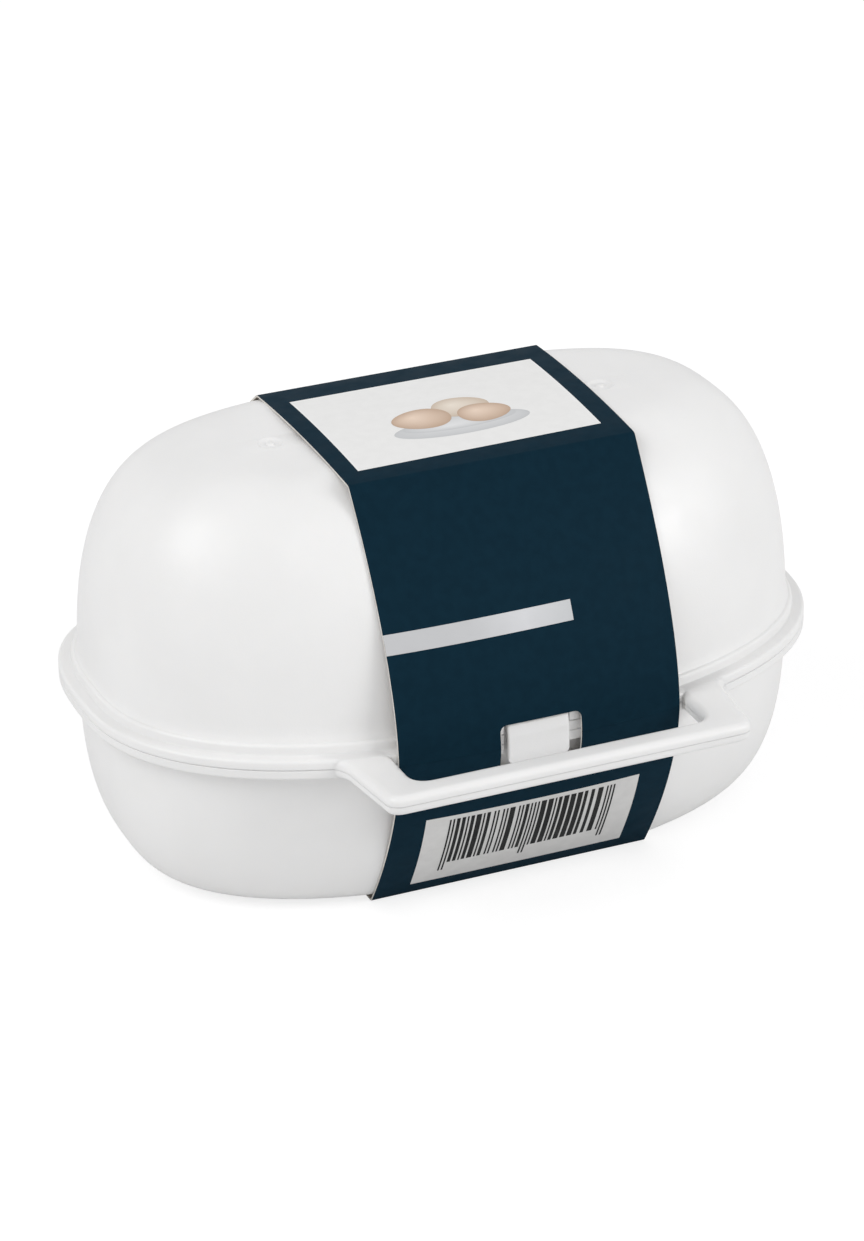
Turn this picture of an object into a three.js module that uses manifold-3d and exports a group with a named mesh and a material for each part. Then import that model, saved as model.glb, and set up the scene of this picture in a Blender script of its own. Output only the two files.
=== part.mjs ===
// Egg storage box with a hinged lid, a carrying handle on the rim, an insert with cups
// for four eggs, and a cardboard sleeve round the closed box.
// Millimetres, +Z up, X along the length, the handle and the latch at -Y.
import * as THREE from 'three';
import { mergeVertices } from 'three/addons/utils/BufferGeometryUtils.js';
import Module from 'manifold-3d';

const wasm = await Module();
wasm.setup();

// Cups for the eggs, two by two
const cupRadius = 19.8;
const cupWall = 1.1;
const cupAtX = 27.5;
const cupGap = 2;
const cupToWall = 5.2;
const cupDepth = 22;
const cupRim = 1;
const cupHole = 4.5;
const cupAtY = cupRadius + cupWall + cupGap / 2;

// Plan of the box, on the plain wall beside the rim
const wallHalfLength = 79.5;
const wallHalfDepth = cupAtY + cupRadius + cupWall + cupToWall;
const frontSquareness = 2.31;
const backSquareness = 3.06;
const wall = 1.5;

// Heights, from the parting plane between lid and base
const lidRise = 53.7;
const baseDrop = 40.5;

// How far the walls draw in from the rim to the top and the bottom, and how square that curve is
const lidEndInset = 29.2;
const lidEndCurve = 2.61;
const lidFrontInset = 30.7;
const lidFrontCurve = 1.95;
const lidBackInset = 26;
const lidBackCurve = 2.3;
const baseEndInset = 17;
const baseEndCurve = 2.72;
const baseFrontInset = 15;
const baseFrontCurve = 2;
const baseBackInset = 18.7;
const baseBackCurve = 2.73;

// Rim: two flanges, one on the other, a bead on the lid and a locating lip on the base
const flangeReach = 4.05;
const flangeThickness = 2.1;
const flangeRound = 0.45;
const partingGap = 0.3;
const beadReach = 1.3;
const beadHeight = 2.3;
const beadRound = 0.5;
const shoulderHeight = 1.95;
const lipGap = 0.35;
const lipThickness = 0.8;
const lipHeight = 2.4;
const lipTaper = 2.2;

// Foot under the base: a ring round a panel that is set up
const footWidth = 6;
const footDepth = 0.8;
const footSlope = 1;

// Handle: a loop on the front rim, split at the parting plane, a little to the right
const handleAt = 1.25;
const handleGapHalf = 33.9;
const handleReach = 15.65;
const barDepth = 5.95;
const armWidthAtRim = 9.6;
const armWidthAtBar = 8.1;
const armFlare = 4.5;
const handleEdgeRound = 1.5;
const handleOuterCorner = 3.8;
const handleInnerCorner = 4.2;
const handleDrop = 0.05;

// Latch: a tab in a notch of the rim, behind the sleeve's window. It hangs from a boss on the
// lid, leans out to the rim's face and snaps over a ridge on the base
const latchWidth = 14.1;
const latchThickness = 1.2;
const latchTop = 5.6;
const latchBottom = 3.6;
const latchLean = 0.85;
const latchLeanHeight = 3.6;
const latchCorner = 1.2;
const latchGap = 0.35;
const latchNoseDepth = 0.8;
const latchNoseHeight = 0.9;
const notchSide = 3.5;
const notchLedge = 0.35;
const baseNotchDepth = 3.1;
const ridgeInset = 1.6;
const ridgeHeight = 0.8;
const ridgeBelow = 1.1;

// Hinge: barrels with pins on the lid, between ears on the base
const hingeAt = 40;
const hingeSetback = 3.9;
const pinRadius = 1.5;
const pinGap = 0.3;
const barrelRadius = 3;
const barrelWidth = 4.4;
const earRadius = 3.3;
const earWidth = 2.5;
const earGap = 0.3;
const earDrop = 3;

// Gate marks on the lid: a shallow round dimple with a nub in it
const gateAt = 38.7;
const gateRadius = 3.3;
const gateDepth = 0.4;
const gateNubRadius = 0.9;
const gateNubHeight = 0.3;

// Egg tray: a plate with a lip that carries the cups, and a finger hole
const trayDrop = 3.6;
const trayPlate = 1.4;
const trayGap = 3.05;
const trayLipWidth = 1.2;
const trayLipHeight = 1.2;
const fingerHole = 8;
const trayRest = 0.3;

// Ribs inside the base that the tray stands on
const ribThickness = 1.6;
const ribReach = 6.5;
const cornerRibAt = 57;

// Cardboard sleeve: a band round the closed box, slit at the parting plane
const sleeveSideGap = 1;
const card = 0.5;
const sleeveGap = 0.5;
const topFold = 22.2;
const bottomFold = 14.6;
const windowAt = 0.25;
const windowHalfWidth = 9.6;
const windowTop = 5.6;
const windowBottom = 7;
const windowCorner = 2;
const sleeveBow = 1.6;
const acrossShare = 0.85;
const sleeveStations = 8;
const sleeveSteps = 10;
const leastStretchShare = 0.5;

// Steps round an outline, up a curved wall, round a cup and round a pin
const planSteps = 60;
const wallSteps = 8;
const cupSteps = 28;
const cupRings = 6;
const pinSteps = 20;
const cutOverrun = 3;

const rimHalfLength = wallHalfLength + flangeReach;
const rimHalfDepth = wallHalfDepth + flangeReach;
const halfGap = partingGap / 2;
const flangeTop = halfGap + flangeThickness;
const beadTop = flangeTop + beadHeight;
const shoulderTop = beadTop + shoulderHeight;
const barFront = rimHalfDepth + handleReach;
const barBack = barFront - barDepth;
const hingeY = rimHalfDepth + hingeSetback;
const partingHeight = card + sleeveGap + baseDrop;
const latchFace = rimHalfDepth + sleeveGap - latchGap;
const latchY = latchFace - latchLean - latchThickness / 2;
const bossFace = latchY - latchThickness / 2 - latchGap;
const sleeveHalfWidth = handleGapHalf - sleeveSideGap;
const topCrease = wallHalfDepth - topFold;
const bottomCrease = wallHalfDepth - bottomFold;

// The origin is under the middle of the whole box, handle and hinge included
const centreShift = (barFront - hingeY - earRadius) / 2;

const plastic = { color: 0xeeeeec, roughness: 0.42, metalness: 0 };
const trayPlastic = { color: 0xf0f0ee, roughness: 0.5, metalness: 0 };
const printedCard = { color: 0x142b38, roughness: 0.55, metalness: 0 };

// How far an outline reaches in Y at a place along X
function reach(halfLength, halfDepth, squareness, x) {
  const share = Math.min(Math.abs(x) / halfLength, 1);
  return halfDepth * (1 - share ** squareness) ** (1 / squareness);
}

function outlinePoint(level, turn) {
  const c = Math.cos(turn);
  const s = Math.sin(turn);
  const squareness = s < 0 ? frontSquareness : backSquareness;
  const depth = s < 0 ? level.front : level.back;
  const x = level.length * Math.sign(c) * Math.abs(c) ** (2 / squareness);
  const y = depth * Math.sign(s) * Math.abs(s) ** (2 / squareness);
  return new THREE.Vector3(x, y, level.z);
}

// A level is an outline's half sizes and its height; offset is out from the plain wall
function rimLevel(offset, z) {
  return {
    length: wallHalfLength + offset,
    front: wallHalfDepth + offset,
    back: wallHalfDepth + offset,
    z,
  };
}

function drawnIn(share, inset, curve) {
  return inset * (1 - Math.max(1 - share ** curve, 0) ** (1 / curve));
}

function lidLevel(z, skin) {
  const share = z / (lidRise - skin);
  return {
    length: wallHalfLength - skin - drawnIn(share, lidEndInset, lidEndCurve),
    front: wallHalfDepth - skin - drawnIn(share, lidFrontInset, lidFrontCurve),
    back: wallHalfDepth - skin - drawnIn(share, lidBackInset, lidBackCurve),
    z,
  };
}

function baseLevel(drop, skin) {
  const share = drop / (baseDrop - skin);
  return {
    length: wallHalfLength - skin - drawnIn(share, baseEndInset, baseEndCurve),
    front: wallHalfDepth - skin - drawnIn(share, baseFrontInset, baseFrontCurve),
    back: wallHalfDepth - skin - drawnIn(share, baseBackInset, baseBackCurve),
    z: -drop,
  };
}

// The foot ring's inner edge, drawn in from the edge of the flat bottom
function footLevel(inward, z) {
  return {
    length: wallHalfLength - baseEndInset - inward,
    front: wallHalfDepth - baseFrontInset - inward,
    back: wallHalfDepth - baseBackInset - inward,
    z,
  };
}

// Levels of a curved wall from a start height to its end, closer together where it turns
function curvedLevels(levelAt, start, end, skin) {
  const levels = [];
  const first = Math.asin(start / end);
  for (let i = 0; i <= wallSteps; i++) {
    const angle = first + (i / wallSteps) * (Math.PI / 2 - first);
    levels.push(levelAt(end * Math.sin(angle), skin));
  }
  return levels;
}

// A closed body over a run of levels, with a flat end at the first and the last
function loft(levels) {
  const positions = [0, 0, levels[0].z];
  for (const level of levels) {
    for (let i = 0; i < planSteps; i++) {
      const point = outlinePoint(level, (i / planSteps) * 2 * Math.PI);
      positions.push(point.x, point.y, point.z);
    }
  }
  positions.push(0, 0, levels[levels.length - 1].z);
  const last = positions.length / 3 - 1;
  const at = (ring, i) => 1 + ring * planSteps + (i % planSteps);
  const index = [];
  for (let i = 0; i < planSteps; i++) {
    index.push(0, at(0, i + 1), at(0, i));
    for (let ring = 0; ring < levels.length - 1; ring++) {
      index.push(at(ring, i), at(ring, i + 1), at(ring + 1, i + 1));
      index.push(at(ring, i), at(ring + 1, i + 1), at(ring + 1, i));
    }
    index.push(at(levels.length - 1, i), at(levels.length - 1, i + 1), last);
  }
  const geometry = new THREE.BufferGeometry();
  geometry.setAttribute('position', new THREE.Float32BufferAttribute(positions, 3));
  geometry.setIndex(index);
  return geometry;
}

function toSolid(geometry) {
  const bare = geometry.clone();
  bare.deleteAttribute('normal');
  bare.deleteAttribute('uv');
  const merged = mergeVertices(bare);
  return new wasm.Manifold(new wasm.Mesh({
    numProp: 3,
    vertProperties: new Float32Array(merged.attributes.position.array),
    triVerts: new Uint32Array(merged.index.array),
  }));
}

function toGeometry(solid) {
  const mesh = solid.getMesh();
  const geometry = new THREE.BufferGeometry();
  geometry.setAttribute('position', new THREE.BufferAttribute(mesh.vertProperties, 3));
  geometry.setIndex(new THREE.BufferAttribute(mesh.triVerts, 1));
  geometry.computeVertexNormals();
  return geometry;
}

function box(low, high) {
  const geometry = new THREE.BoxGeometry(high[0] - low[0], high[1] - low[1], high[2] - low[2]);
  const middle = low.map((value, i) => (value + high[i]) / 2);
  return toSolid(geometry.translate(...middle));
}

// A round bar along X
function barAlongX(radius, length, x, y, z) {
  const geometry = new THREE.CylinderGeometry(radius, radius, length, pinSteps);
  return toSolid(geometry.rotateZ(Math.PI / 2).translate(x, y, z));
}

function barAlongZ(radius, low, high, x, y, steps) {
  const geometry = new THREE.CylinderGeometry(radius, radius, high - low, steps);
  return toSolid(geometry.rotateX(Math.PI / 2).translate(x, y, (low + high) / 2));
}

// Outlines drawn in X and Z and pushed through the front, from a near Y to a far one
function throughFront(shape, nearY, farY) {
  const geometry = new THREE.ExtrudeGeometry(shape, {
    depth: farY - nearY,
    bevelEnabled: false,
    curveSegments: 4,
  });
  return toSolid(geometry.rotateX(Math.PI / 2).translate(0, farY, 0));
}

function roundedWindow(halfWidth, bottom, top, corner) {
  const shape = new THREE.Shape();
  shape.moveTo(-halfWidth + corner, bottom);
  shape.lineTo(halfWidth - corner, bottom);
  shape.quadraticCurveTo(halfWidth, bottom, halfWidth, bottom + corner);
  shape.lineTo(halfWidth, top - corner);
  shape.quadraticCurveTo(halfWidth, top, halfWidth - corner, top);
  shape.lineTo(-halfWidth + corner, top);
  shape.quadraticCurveTo(-halfWidth, top, -halfWidth, top - corner);
  shape.lineTo(-halfWidth, bottom + corner);
  shape.quadraticCurveTo(-halfWidth, bottom, -halfWidth + corner, bottom);
  return shape;
}

// The whole handle, before it is split: a U with rounded edges, flared where it leaves the rim
function handleLoop() {
  const atRim = handleGapHalf + armWidthAtRim;
  const atBar = handleGapHalf + armWidthAtBar;
  const leftRim = reach(rimHalfLength, rimHalfDepth, frontSquareness, atRim - handleAt);
  const rightRim = reach(rimHalfLength, rimHalfDepth, frontSquareness, atRim + handleAt);
  const root = -reach(wallHalfLength - wall, wallHalfDepth - wall, frontSquareness, atRim);
  const outer = handleOuterCorner;
  const inner = handleInnerCorner;
  const shape = new THREE.Shape();
  shape.moveTo(-handleGapHalf, root);
  shape.lineTo(-atRim - armFlare, root);
  shape.lineTo(-atRim - armFlare, -leftRim + armFlare / 2);
  shape.quadraticCurveTo(-atRim, -leftRim, -atRim, -leftRim - armFlare);
  shape.lineTo(-atBar, -barFront + outer);
  shape.quadraticCurveTo(-atBar, -barFront, -atBar + outer, -barFront);
  shape.lineTo(atBar - outer, -barFront);
  shape.quadraticCurveTo(atBar, -barFront, atBar, -barFront + outer);
  shape.lineTo(atRim, -rightRim - armFlare);
  shape.quadraticCurveTo(atRim, -rightRim, atRim + armFlare, -rightRim + armFlare / 2);
  shape.lineTo(atRim + armFlare, root);
  shape.lineTo(handleGapHalf, root);
  shape.lineTo(handleGapHalf, -barBack + inner);
  shape.quadraticCurveTo(handleGapHalf, -barBack, handleGapHalf - inner, -barBack);
  shape.lineTo(-handleGapHalf + inner, -barBack);
  shape.quadraticCurveTo(-handleGapHalf, -barBack, -handleGapHalf, -barBack + inner);
  shape.lineTo(-handleGapHalf, root);
  const half = flangeTop - handleDrop;
  const geometry = new THREE.ExtrudeGeometry(shape, {
    depth: 2 * (half - handleEdgeRound),
    bevelThickness: handleEdgeRound,
    bevelSize: handleEdgeRound,
    bevelOffset: -handleEdgeRound,
    bevelSegments: 3,
    curveSegments: 5,
  });
  return toSolid(geometry.translate(handleAt, 0, -half + handleEdgeRound));
}

// The half of the handle above (side 1) or below (side -1) the parting plane, outside the hollow
function handleHalf(side) {
  const far = rimHalfLength + cutOverrun;
  const deep = barFront + cutOverrun;
  const near = side * halfGap;
  const away = side * (flangeTop + cutOverrun);
  const keep = box([-far, -deep, Math.min(near, away)], [far, deep, Math.max(near, away)]);
  const hollow = toSolid(loft([rimLevel(-wall, -shoulderTop), rimLevel(-wall, shoulderTop)]));
  return handleLoop().intersect(keep).subtract(hollow);
}

// Space that the latch tab needs in the rim, back to a given Y
function latchNotch(back) {
  const half = latchWidth / 2 + notchSide;
  const tall = flangeTop + cutOverrun;
  return box([-half, -rimHalfDepth - cutOverrun, -tall], [half, back, tall]);
}

function lidShell() {
  const inner = curvedLevels(lidLevel, partingGap, lidRise - wall, wall).reverse();
  const outer = curvedLevels(lidLevel, shoulderTop, lidRise, 0);
  const geometry = loft([
    ...inner,
    rimLevel(-wall, halfGap),
    rimLevel(flangeReach, halfGap),
    rimLevel(flangeReach, flangeTop - flangeRound),
    rimLevel(flangeReach - flangeRound, flangeTop),
    rimLevel(beadReach, flangeTop),
    rimLevel(beadReach, beadTop - beadRound),
    rimLevel(beadReach - beadRound, beadTop),
    ...outer,
  ]);
  const bossHalf = latchWidth / 2;
  const bossBack = -wallHalfDepth + wall / 2;
  const bossTop = latchTop + latchThickness / 2;
  const boss = box([-bossHalf, -bossFace, halfGap], [bossHalf, bossBack, bossTop]);
  const notch = latchNotch(-wallHalfDepth - beadReach - notchLedge);
  let lid = toSolid(geometry).add(handleHalf(1)).subtract(notch).add(boss);
  for (const side of [-1, 1]) {
    lid = lid.add(hingeBarrel(side * hingeAt));
    const dimple = barAlongZ(gateRadius, lidRise - gateDepth, lidRise + cutOverrun, side * gateAt, 0, pinSteps);
    const nubLow = lidRise - gateDepth - wall / 2;
    const nubHigh = lidRise - gateDepth + gateNubHeight;
    lid = lid.subtract(dimple).add(barAlongZ(gateNubRadius, nubLow, nubHigh, side * gateAt, 0, pinSteps));
  }
  return toGeometry(lid);
}

// A barrel on an arm, with a pin that stands out on both sides into the ears
function hingeBarrel(x) {
  const root = reach(wallHalfLength, wallHalfDepth - wall / 2, backSquareness, hingeAt);
  const half = barrelWidth / 2;
  const pinLength = barrelWidth + 2 * (earGap + earWidth);
  return box([x - half, root, halfGap], [x + half, hingeY, flangeTop])
    .add(barAlongX(barrelRadius, barrelWidth, x, hingeY, 0))
    .add(barAlongX(pinRadius, pinLength, x, hingeY, 0));
}

// Two ears with a hole through them, beside each barrel
function hingeEars(x) {
  const root = reach(wallHalfLength, wallHalfDepth - wall / 2, backSquareness, hingeAt);
  const offset = barrelWidth / 2 + earGap + earWidth / 2;
  let ears = null;
  for (const side of [-1, 1]) {
    const middle = x + side * offset;
    const low = middle - earWidth / 2;
    const high = middle + earWidth / 2;
    const ear = box([low, root, -earDrop], [high, hingeY, -halfGap])
      .add(barAlongX(earRadius, earWidth, middle, hingeY, 0));
    ears = ears ? ears.add(ear) : ear;
  }
  const length = barrelWidth + 2 * (earGap + earWidth) + cutOverrun;
  return ears.subtract(barAlongX(pinRadius + pinGap, length, x, hingeY, 0));
}

// Upright ribs, trimmed by the outside of the base
function trayRibs(filled) {
  const top = -trayDrop - trayPlate - trayRest;
  const floor = -baseDrop + wall / 2;
  const half = ribThickness / 2;
  const places = [[0, 1], [0, -1], [cornerRibAt, 1], [cornerRibAt, -1], [-cornerRibAt, 1], [-cornerRibAt, -1]];
  let ribs = null;
  for (const [x, side] of places) {
    const squareness = side < 0 ? frontSquareness : backSquareness;
    const outside = reach(wallHalfLength, wallHalfDepth, squareness, x);
    const near = side * (outside - ribReach);
    const far = side * outside;
    const rib = box([x - half, Math.min(near, far), floor], [x + half, Math.max(near, far), top]);
    ribs = ribs ? ribs.add(rib) : rib;
  }
  for (const side of [-1, 1]) {
    const near = side * (wallHalfLength - ribReach);
    const far = side * wallHalfLength;
    ribs = ribs.add(box([Math.min(near, far), -half, floor], [Math.max(near, far), half, top]));
  }
  return ribs.intersect(filled);
}

function baseShell() {
  const lipOuter = -wall - lipGap;
  const lipInner = lipOuter - lipThickness;
  const outer = curvedLevels(baseLevel, flangeTop, baseDrop, 0).reverse();
  const inner = curvedLevels(baseLevel, flangeTop + lipTaper, baseDrop - wall, wall);
  const underside = [
    footLevel(footWidth + footSlope, -baseDrop + footDepth),
    footLevel(footWidth, -baseDrop),
  ];
  const geometry = loft([
    ...underside,
    ...outer,
    rimLevel(flangeReach - flangeRound, -flangeTop),
    rimLevel(flangeReach, -flangeTop + flangeRound),
    rimLevel(flangeReach, -halfGap),
    rimLevel(lipOuter, -halfGap),
    rimLevel(lipOuter, lipHeight),
    rimLevel(lipInner, lipHeight),
    rimLevel(lipInner, -flangeTop),
    ...inner,
  ]);
  const filled = toSolid(loft([...outer, rimLevel(0, 0)]));
  const ridgeHalf = latchWidth / 2 - ridgeInset;
  const notchBack = -rimHalfDepth + baseNotchDepth;
  const ridgeFace = -latchFace + latchThickness + latchNoseDepth + latchGap;
  const ridge = box(
    [-ridgeHalf, ridgeFace, -ridgeBelow - ridgeHeight],
    [ridgeHalf, notchBack + wall / 2, -ridgeBelow],
  );
  let base = toSolid(geometry).add(handleHalf(-1)).subtract(latchNotch(notchBack)).add(ridge);
  base = base.add(trayRibs(filled));
  for (const side of [-1, 1]) {
    base = base.add(hingeEars(side * hingeAt));
  }
  return toGeometry(base);
}

// The tab, about its own hinge line: it leans out and then hangs straight, with rounded lower
// corners, a round top edge and a nose inside
function frontLatch() {
  const half = latchWidth / 2;
  const radius = latchThickness / 2;
  const drop = latchTop + latchBottom;
  const profile = new THREE.Shape();
  profile.moveTo(-radius, 0);
  profile.lineTo(-radius - latchLean, -latchLeanHeight);
  profile.lineTo(-radius - latchLean, -drop);
  profile.lineTo(radius - latchLean, -drop);
  profile.lineTo(radius - latchLean, -latchLeanHeight);
  profile.lineTo(radius, 0);
  const side = new THREE.ExtrudeGeometry(profile, { depth: latchWidth, bevelEnabled: false });
  side.rotateX(Math.PI / 2).rotateZ(Math.PI / 2).translate(-half, 0, 0);
  const outline = new THREE.Shape();
  outline.moveTo(-half, radius);
  outline.lineTo(-half, -drop + latchCorner);
  outline.quadraticCurveTo(-half, -drop, -half + latchCorner, -drop);
  outline.lineTo(half - latchCorner, -drop);
  outline.quadraticCurveTo(half, -drop, half, -drop + latchCorner);
  outline.lineTo(half, radius);
  const nose = box(
    [-half + latchCorner, -latchLean, -drop + latchThickness - latchNoseHeight],
    [half - latchCorner, radius - latchLean + latchNoseDepth, -drop + latchThickness],
  );
  const tab = toSolid(side)
    .intersect(throughFront(outline, -latchLean - latchThickness, latchThickness))
    .add(barAlongX(radius, latchWidth, 0, 0, 0))
    .add(nose);
  return toGeometry(tab);
}

// A cup turned about its own axis, open at the bottom, with a rim that stands up from the plate
function eggCup(x, y) {
  const end = Math.acos(cupHole / cupRadius);
  const depth = cupDepth / Math.sin(end);
  const inside = [];
  const outside = [];
  for (let i = 0; i <= cupRings; i++) {
    const angle = (i / cupRings) * end;
    inside.push(new THREE.Vector2(cupRadius * Math.cos(angle), -depth * Math.sin(angle)));
    const wide = cupRadius + cupWall;
    const deep = depth + cupWall;
    outside.push(new THREE.Vector2(wide * Math.cos(angle), -deep * Math.sin(angle)));
  }
  const profile = [
    new THREE.Vector2(cupRadius, cupRim),
    ...inside,
    ...outside.reverse(),
    new THREE.Vector2(cupRadius + cupWall, cupRim),
    new THREE.Vector2(cupRadius, cupRim),
  ];
  const geometry = new THREE.LatheGeometry(profile, cupSteps);
  return toSolid(geometry.rotateX(Math.PI / 2).translate(x, y, -trayDrop));
}

function eggTray() {
  const edge = -trayGap;
  const top = -trayDrop;
  const bottom = top - trayPlate;
  const plate = loft([
    rimLevel(edge, bottom),
    rimLevel(edge, top + trayLipHeight),
    rimLevel(edge - trayLipWidth, top + trayLipHeight),
    rimLevel(edge - trayLipWidth, top),
  ]);
  let tray = toSolid(plate);
  for (const x of [-cupAtX, cupAtX]) {
    for (const y of [-cupAtY, cupAtY]) {
      const hole = barAlongZ(cupRadius + cupWall / 2, bottom - cutOverrun, top + cutOverrun, x, y, cupSteps);
      tray = tray.subtract(hole).add(eggCup(x, y));
    }
  }
  tray = tray.subtract(barAlongZ(fingerHole, bottom - cutOverrun, top + cutOverrun, 0, 0, cupSteps));
  return toGeometry(tray);
}

// How far out the band lies at a height: it bows from the rim to the crease, and clears the
// shell. Across its width it is flatter than the rim
function bandReach(x, z, side, levelAt, rise, creaseY) {
  const squareness = side < 0 ? frontSquareness : backSquareness;
  const across = x * acrossShare;
  const rim = reach(rimHalfLength, rimHalfDepth, squareness, across) + sleeveGap;
  if (z <= flangeTop) return rim;
  const bowed = rim - (rim - creaseY) * (z / (rise + sleeveGap)) ** sleeveBow;
  if (z >= rise) return bowed;
  const level = levelAt(z - sleeveGap, 0);
  const depth = side < 0 ? level.front : level.back;
  return Math.max(bowed, reach(level.length, depth, squareness, x) + sleeveGap);
}

// The band's section at a station along X: its inner face from the front slit to the back slit
function bandSection(x, levelAt, rise, creaseY, upward) {
  const end = rise + sleeveGap;
  const heights = [halfGap, flangeTop];
  for (let i = 1; i <= sleeveSteps; i++) {
    const height = end * Math.sin((i / sleeveSteps) * (Math.PI / 2));
    if (height > flangeTop + sleeveGap) heights.push(height);
  }
  const half = (side) => heights.map((z) => {
    const y = side * bandReach(x, z, side, levelAt, rise, creaseY);
    return new THREE.Vector2(y, upward * z);
  });
  return [...half(-1), ...half(1).reverse()];
}

// The same line, moved out square to itself by the card's thickness
function thickened(line, upward) {
  return line.map((point, i) => {
    const before = line[Math.max(i - 1, 0)];
    const after = line[Math.min(i + 1, line.length - 1)];
    const into = new THREE.Vector2().subVectors(point, before);
    const out = new THREE.Vector2().subVectors(after, point);
    if (into.length() === 0) into.copy(out);
    if (out.length() === 0) out.copy(into);
    into.normalize();
    out.normalize();
    const along = new THREE.Vector2().addVectors(into, out).normalize();
    const square = new THREE.Vector2(-along.y, along.x).multiplyScalar(upward);
    const stretch = 1 / Math.max(along.dot(into), leastStretchShare);
    return point.clone().addScaledVector(square, card * stretch);
  });
}

// One half of the sleeve: a closed sheet over its stations
function sleeveHalf(levelAt, rise, creaseY, upward) {
  const inner = [];
  const outer = [];
  for (let i = 0; i <= sleeveStations; i++) {
    const x = handleAt + sleeveHalfWidth * ((2 * i) / sleeveStations - 1);
    const line = bandSection(x, levelAt, rise, creaseY, upward);
    inner.push(line.map((point) => new THREE.Vector3(x, point.x, point.y)));
    outer.push(thickened(line, upward).map((point) => new THREE.Vector3(x, point.x, point.y)));
  }
  const columns = inner[0].length;
  const rows = sleeveStations + 1;
  const positions = [];
  for (const sheet of [inner, outer]) {
    for (const row of sheet) {
      for (const point of row) positions.push(point.x, point.y, point.z);
    }
  }
  const at = (layer, row, column) => (layer * rows + row) * columns + column;
  const index = [];
  const quad = (a, b, c, d) => {
    if (upward > 0) index.push(a, b, c, a, c, d);
    else index.push(a, c, b, a, d, c);
  };
  for (let r = 0; r < rows - 1; r++) {
    for (let c = 0; c < columns - 1; c++) {
      quad(at(1, r, c), at(1, r + 1, c), at(1, r + 1, c + 1), at(1, r, c + 1));
      quad(at(0, r, c), at(0, r, c + 1), at(0, r + 1, c + 1), at(0, r + 1, c));
    }
    quad(at(0, r, 0), at(0, r + 1, 0), at(1, r + 1, 0), at(1, r, 0));
    const last = columns - 1;
    quad(at(0, r + 1, last), at(0, r, last), at(1, r, last), at(1, r + 1, last));
  }
  for (let c = 0; c < columns - 1; c++) {
    quad(at(0, 0, c + 1), at(0, 0, c), at(1, 0, c), at(1, 0, c + 1));
    const end = rows - 1;
    quad(at(0, end, c), at(0, end, c + 1), at(1, end, c + 1), at(1, end, c));
  }
  const geometry = new THREE.BufferGeometry();
  geometry.setAttribute('position', new THREE.Float32BufferAttribute(positions, 3));
  geometry.setIndex(index);
  const opening = roundedWindow(windowHalfWidth, -windowBottom, windowTop, windowCorner);
  const cutter = throughFront(opening, -rimHalfDepth - cutOverrun, -topCrease - cutOverrun);
  return toGeometry(toSolid(geometry).subtract(cutter.translate([windowAt, 0, 0])));
}

function part(name, geometry, finish) {
  const mesh = new THREE.Mesh(geometry, new THREE.MeshStandardMaterial(finish));
  mesh.name = name;
  return mesh;
}

const eggBox = new THREE.Group();
eggBox.position.set(0, centreShift, partingHeight);

const latch = part('front_latch', frontLatch(), plastic);
latch.position.set(0, -latchY, latchTop);

eggBox.add(
  part('base_shell', baseShell(), plastic),
  part('lid_shell', lidShell(), plastic),
  latch,
  part('egg_tray', eggTray(), trayPlastic),
  part('sleeve_upper', sleeveHalf(lidLevel, lidRise, topCrease, 1), printedCard),
  part('sleeve_lower', sleeveHalf(baseLevel, baseDrop, bottomCrease, -1), printedCard),
);

export default eggBox;
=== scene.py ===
# %% [markdown]
# # Egg storage box: a lesson in looks
#
# The real object is a small box for four eggs, moulded in white polypropylene: a domed lid, a
# rounded base, a carrying handle that is split between them, a latch, an insert with cups, and
# a sleeve of printed card round the closed box. This lesson builds a finer skin over each solid
# of the CAD model, in the same place, and lights it as in a studio.
#
# The first cell loads the CAD model as a fixed frame. Nothing in it is moved: each new piece
# rides on one of its bodies, so the lid still opens with all that belongs to it.

# %% Load the frame
import math
import random

import bmesh
import bpy
from mathutils import Matrix, Vector
from mathutils.geometry import tessellate_polygon


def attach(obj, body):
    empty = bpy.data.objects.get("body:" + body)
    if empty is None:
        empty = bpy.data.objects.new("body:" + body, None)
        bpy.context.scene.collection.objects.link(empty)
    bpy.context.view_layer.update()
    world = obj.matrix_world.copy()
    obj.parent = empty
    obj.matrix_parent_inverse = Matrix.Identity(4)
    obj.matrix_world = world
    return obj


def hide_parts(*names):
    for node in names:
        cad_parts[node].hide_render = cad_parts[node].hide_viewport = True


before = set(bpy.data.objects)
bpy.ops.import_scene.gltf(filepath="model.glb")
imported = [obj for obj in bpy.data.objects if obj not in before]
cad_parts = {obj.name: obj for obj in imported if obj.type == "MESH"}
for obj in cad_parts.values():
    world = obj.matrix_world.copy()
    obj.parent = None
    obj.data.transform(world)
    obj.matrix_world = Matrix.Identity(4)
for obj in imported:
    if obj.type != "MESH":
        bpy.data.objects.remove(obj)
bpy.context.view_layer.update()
random.seed(7)

# %% [markdown]
# ## The sizes
#
# One drawing fits all the pieces to each other. The cell below holds its main numbers in
# millimetres: X runs along the box, Y starts at the middle of the shells with the handle at -Y,
# and Z starts at the plane where lid and base meet. Blender works in metres with the origin
# under the box, so one small function changes every point, and no object needs a transform.
# The rims keep a little more distance from the parting plane than the handle and the hinge do,
# because two faces in one plane would show as a black patch.

# %% The main sizes
MM = 0.001
SHIFT_Y, PARTING = 4.225, 41.5
LENGTH, DEPTH, WALL = 79.5, 48.0, 1.5
FRONT_POWER, BACK_POWER = 2.31, 3.06
LID_RISE, BASE_DROP = 53.7, 40.5
FLANGE, FLANGE_TOP, HALF_GAP, FACE_GAP = 4.05, 2.25, 0.012, 0.035
BEAD, BEAD_TOP, SHOULDER_TOP = 1.3, 4.55, 6.5
RIM_LENGTH, RIM_DEPTH = LENGTH + FLANGE, DEPTH + FLANGE


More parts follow.
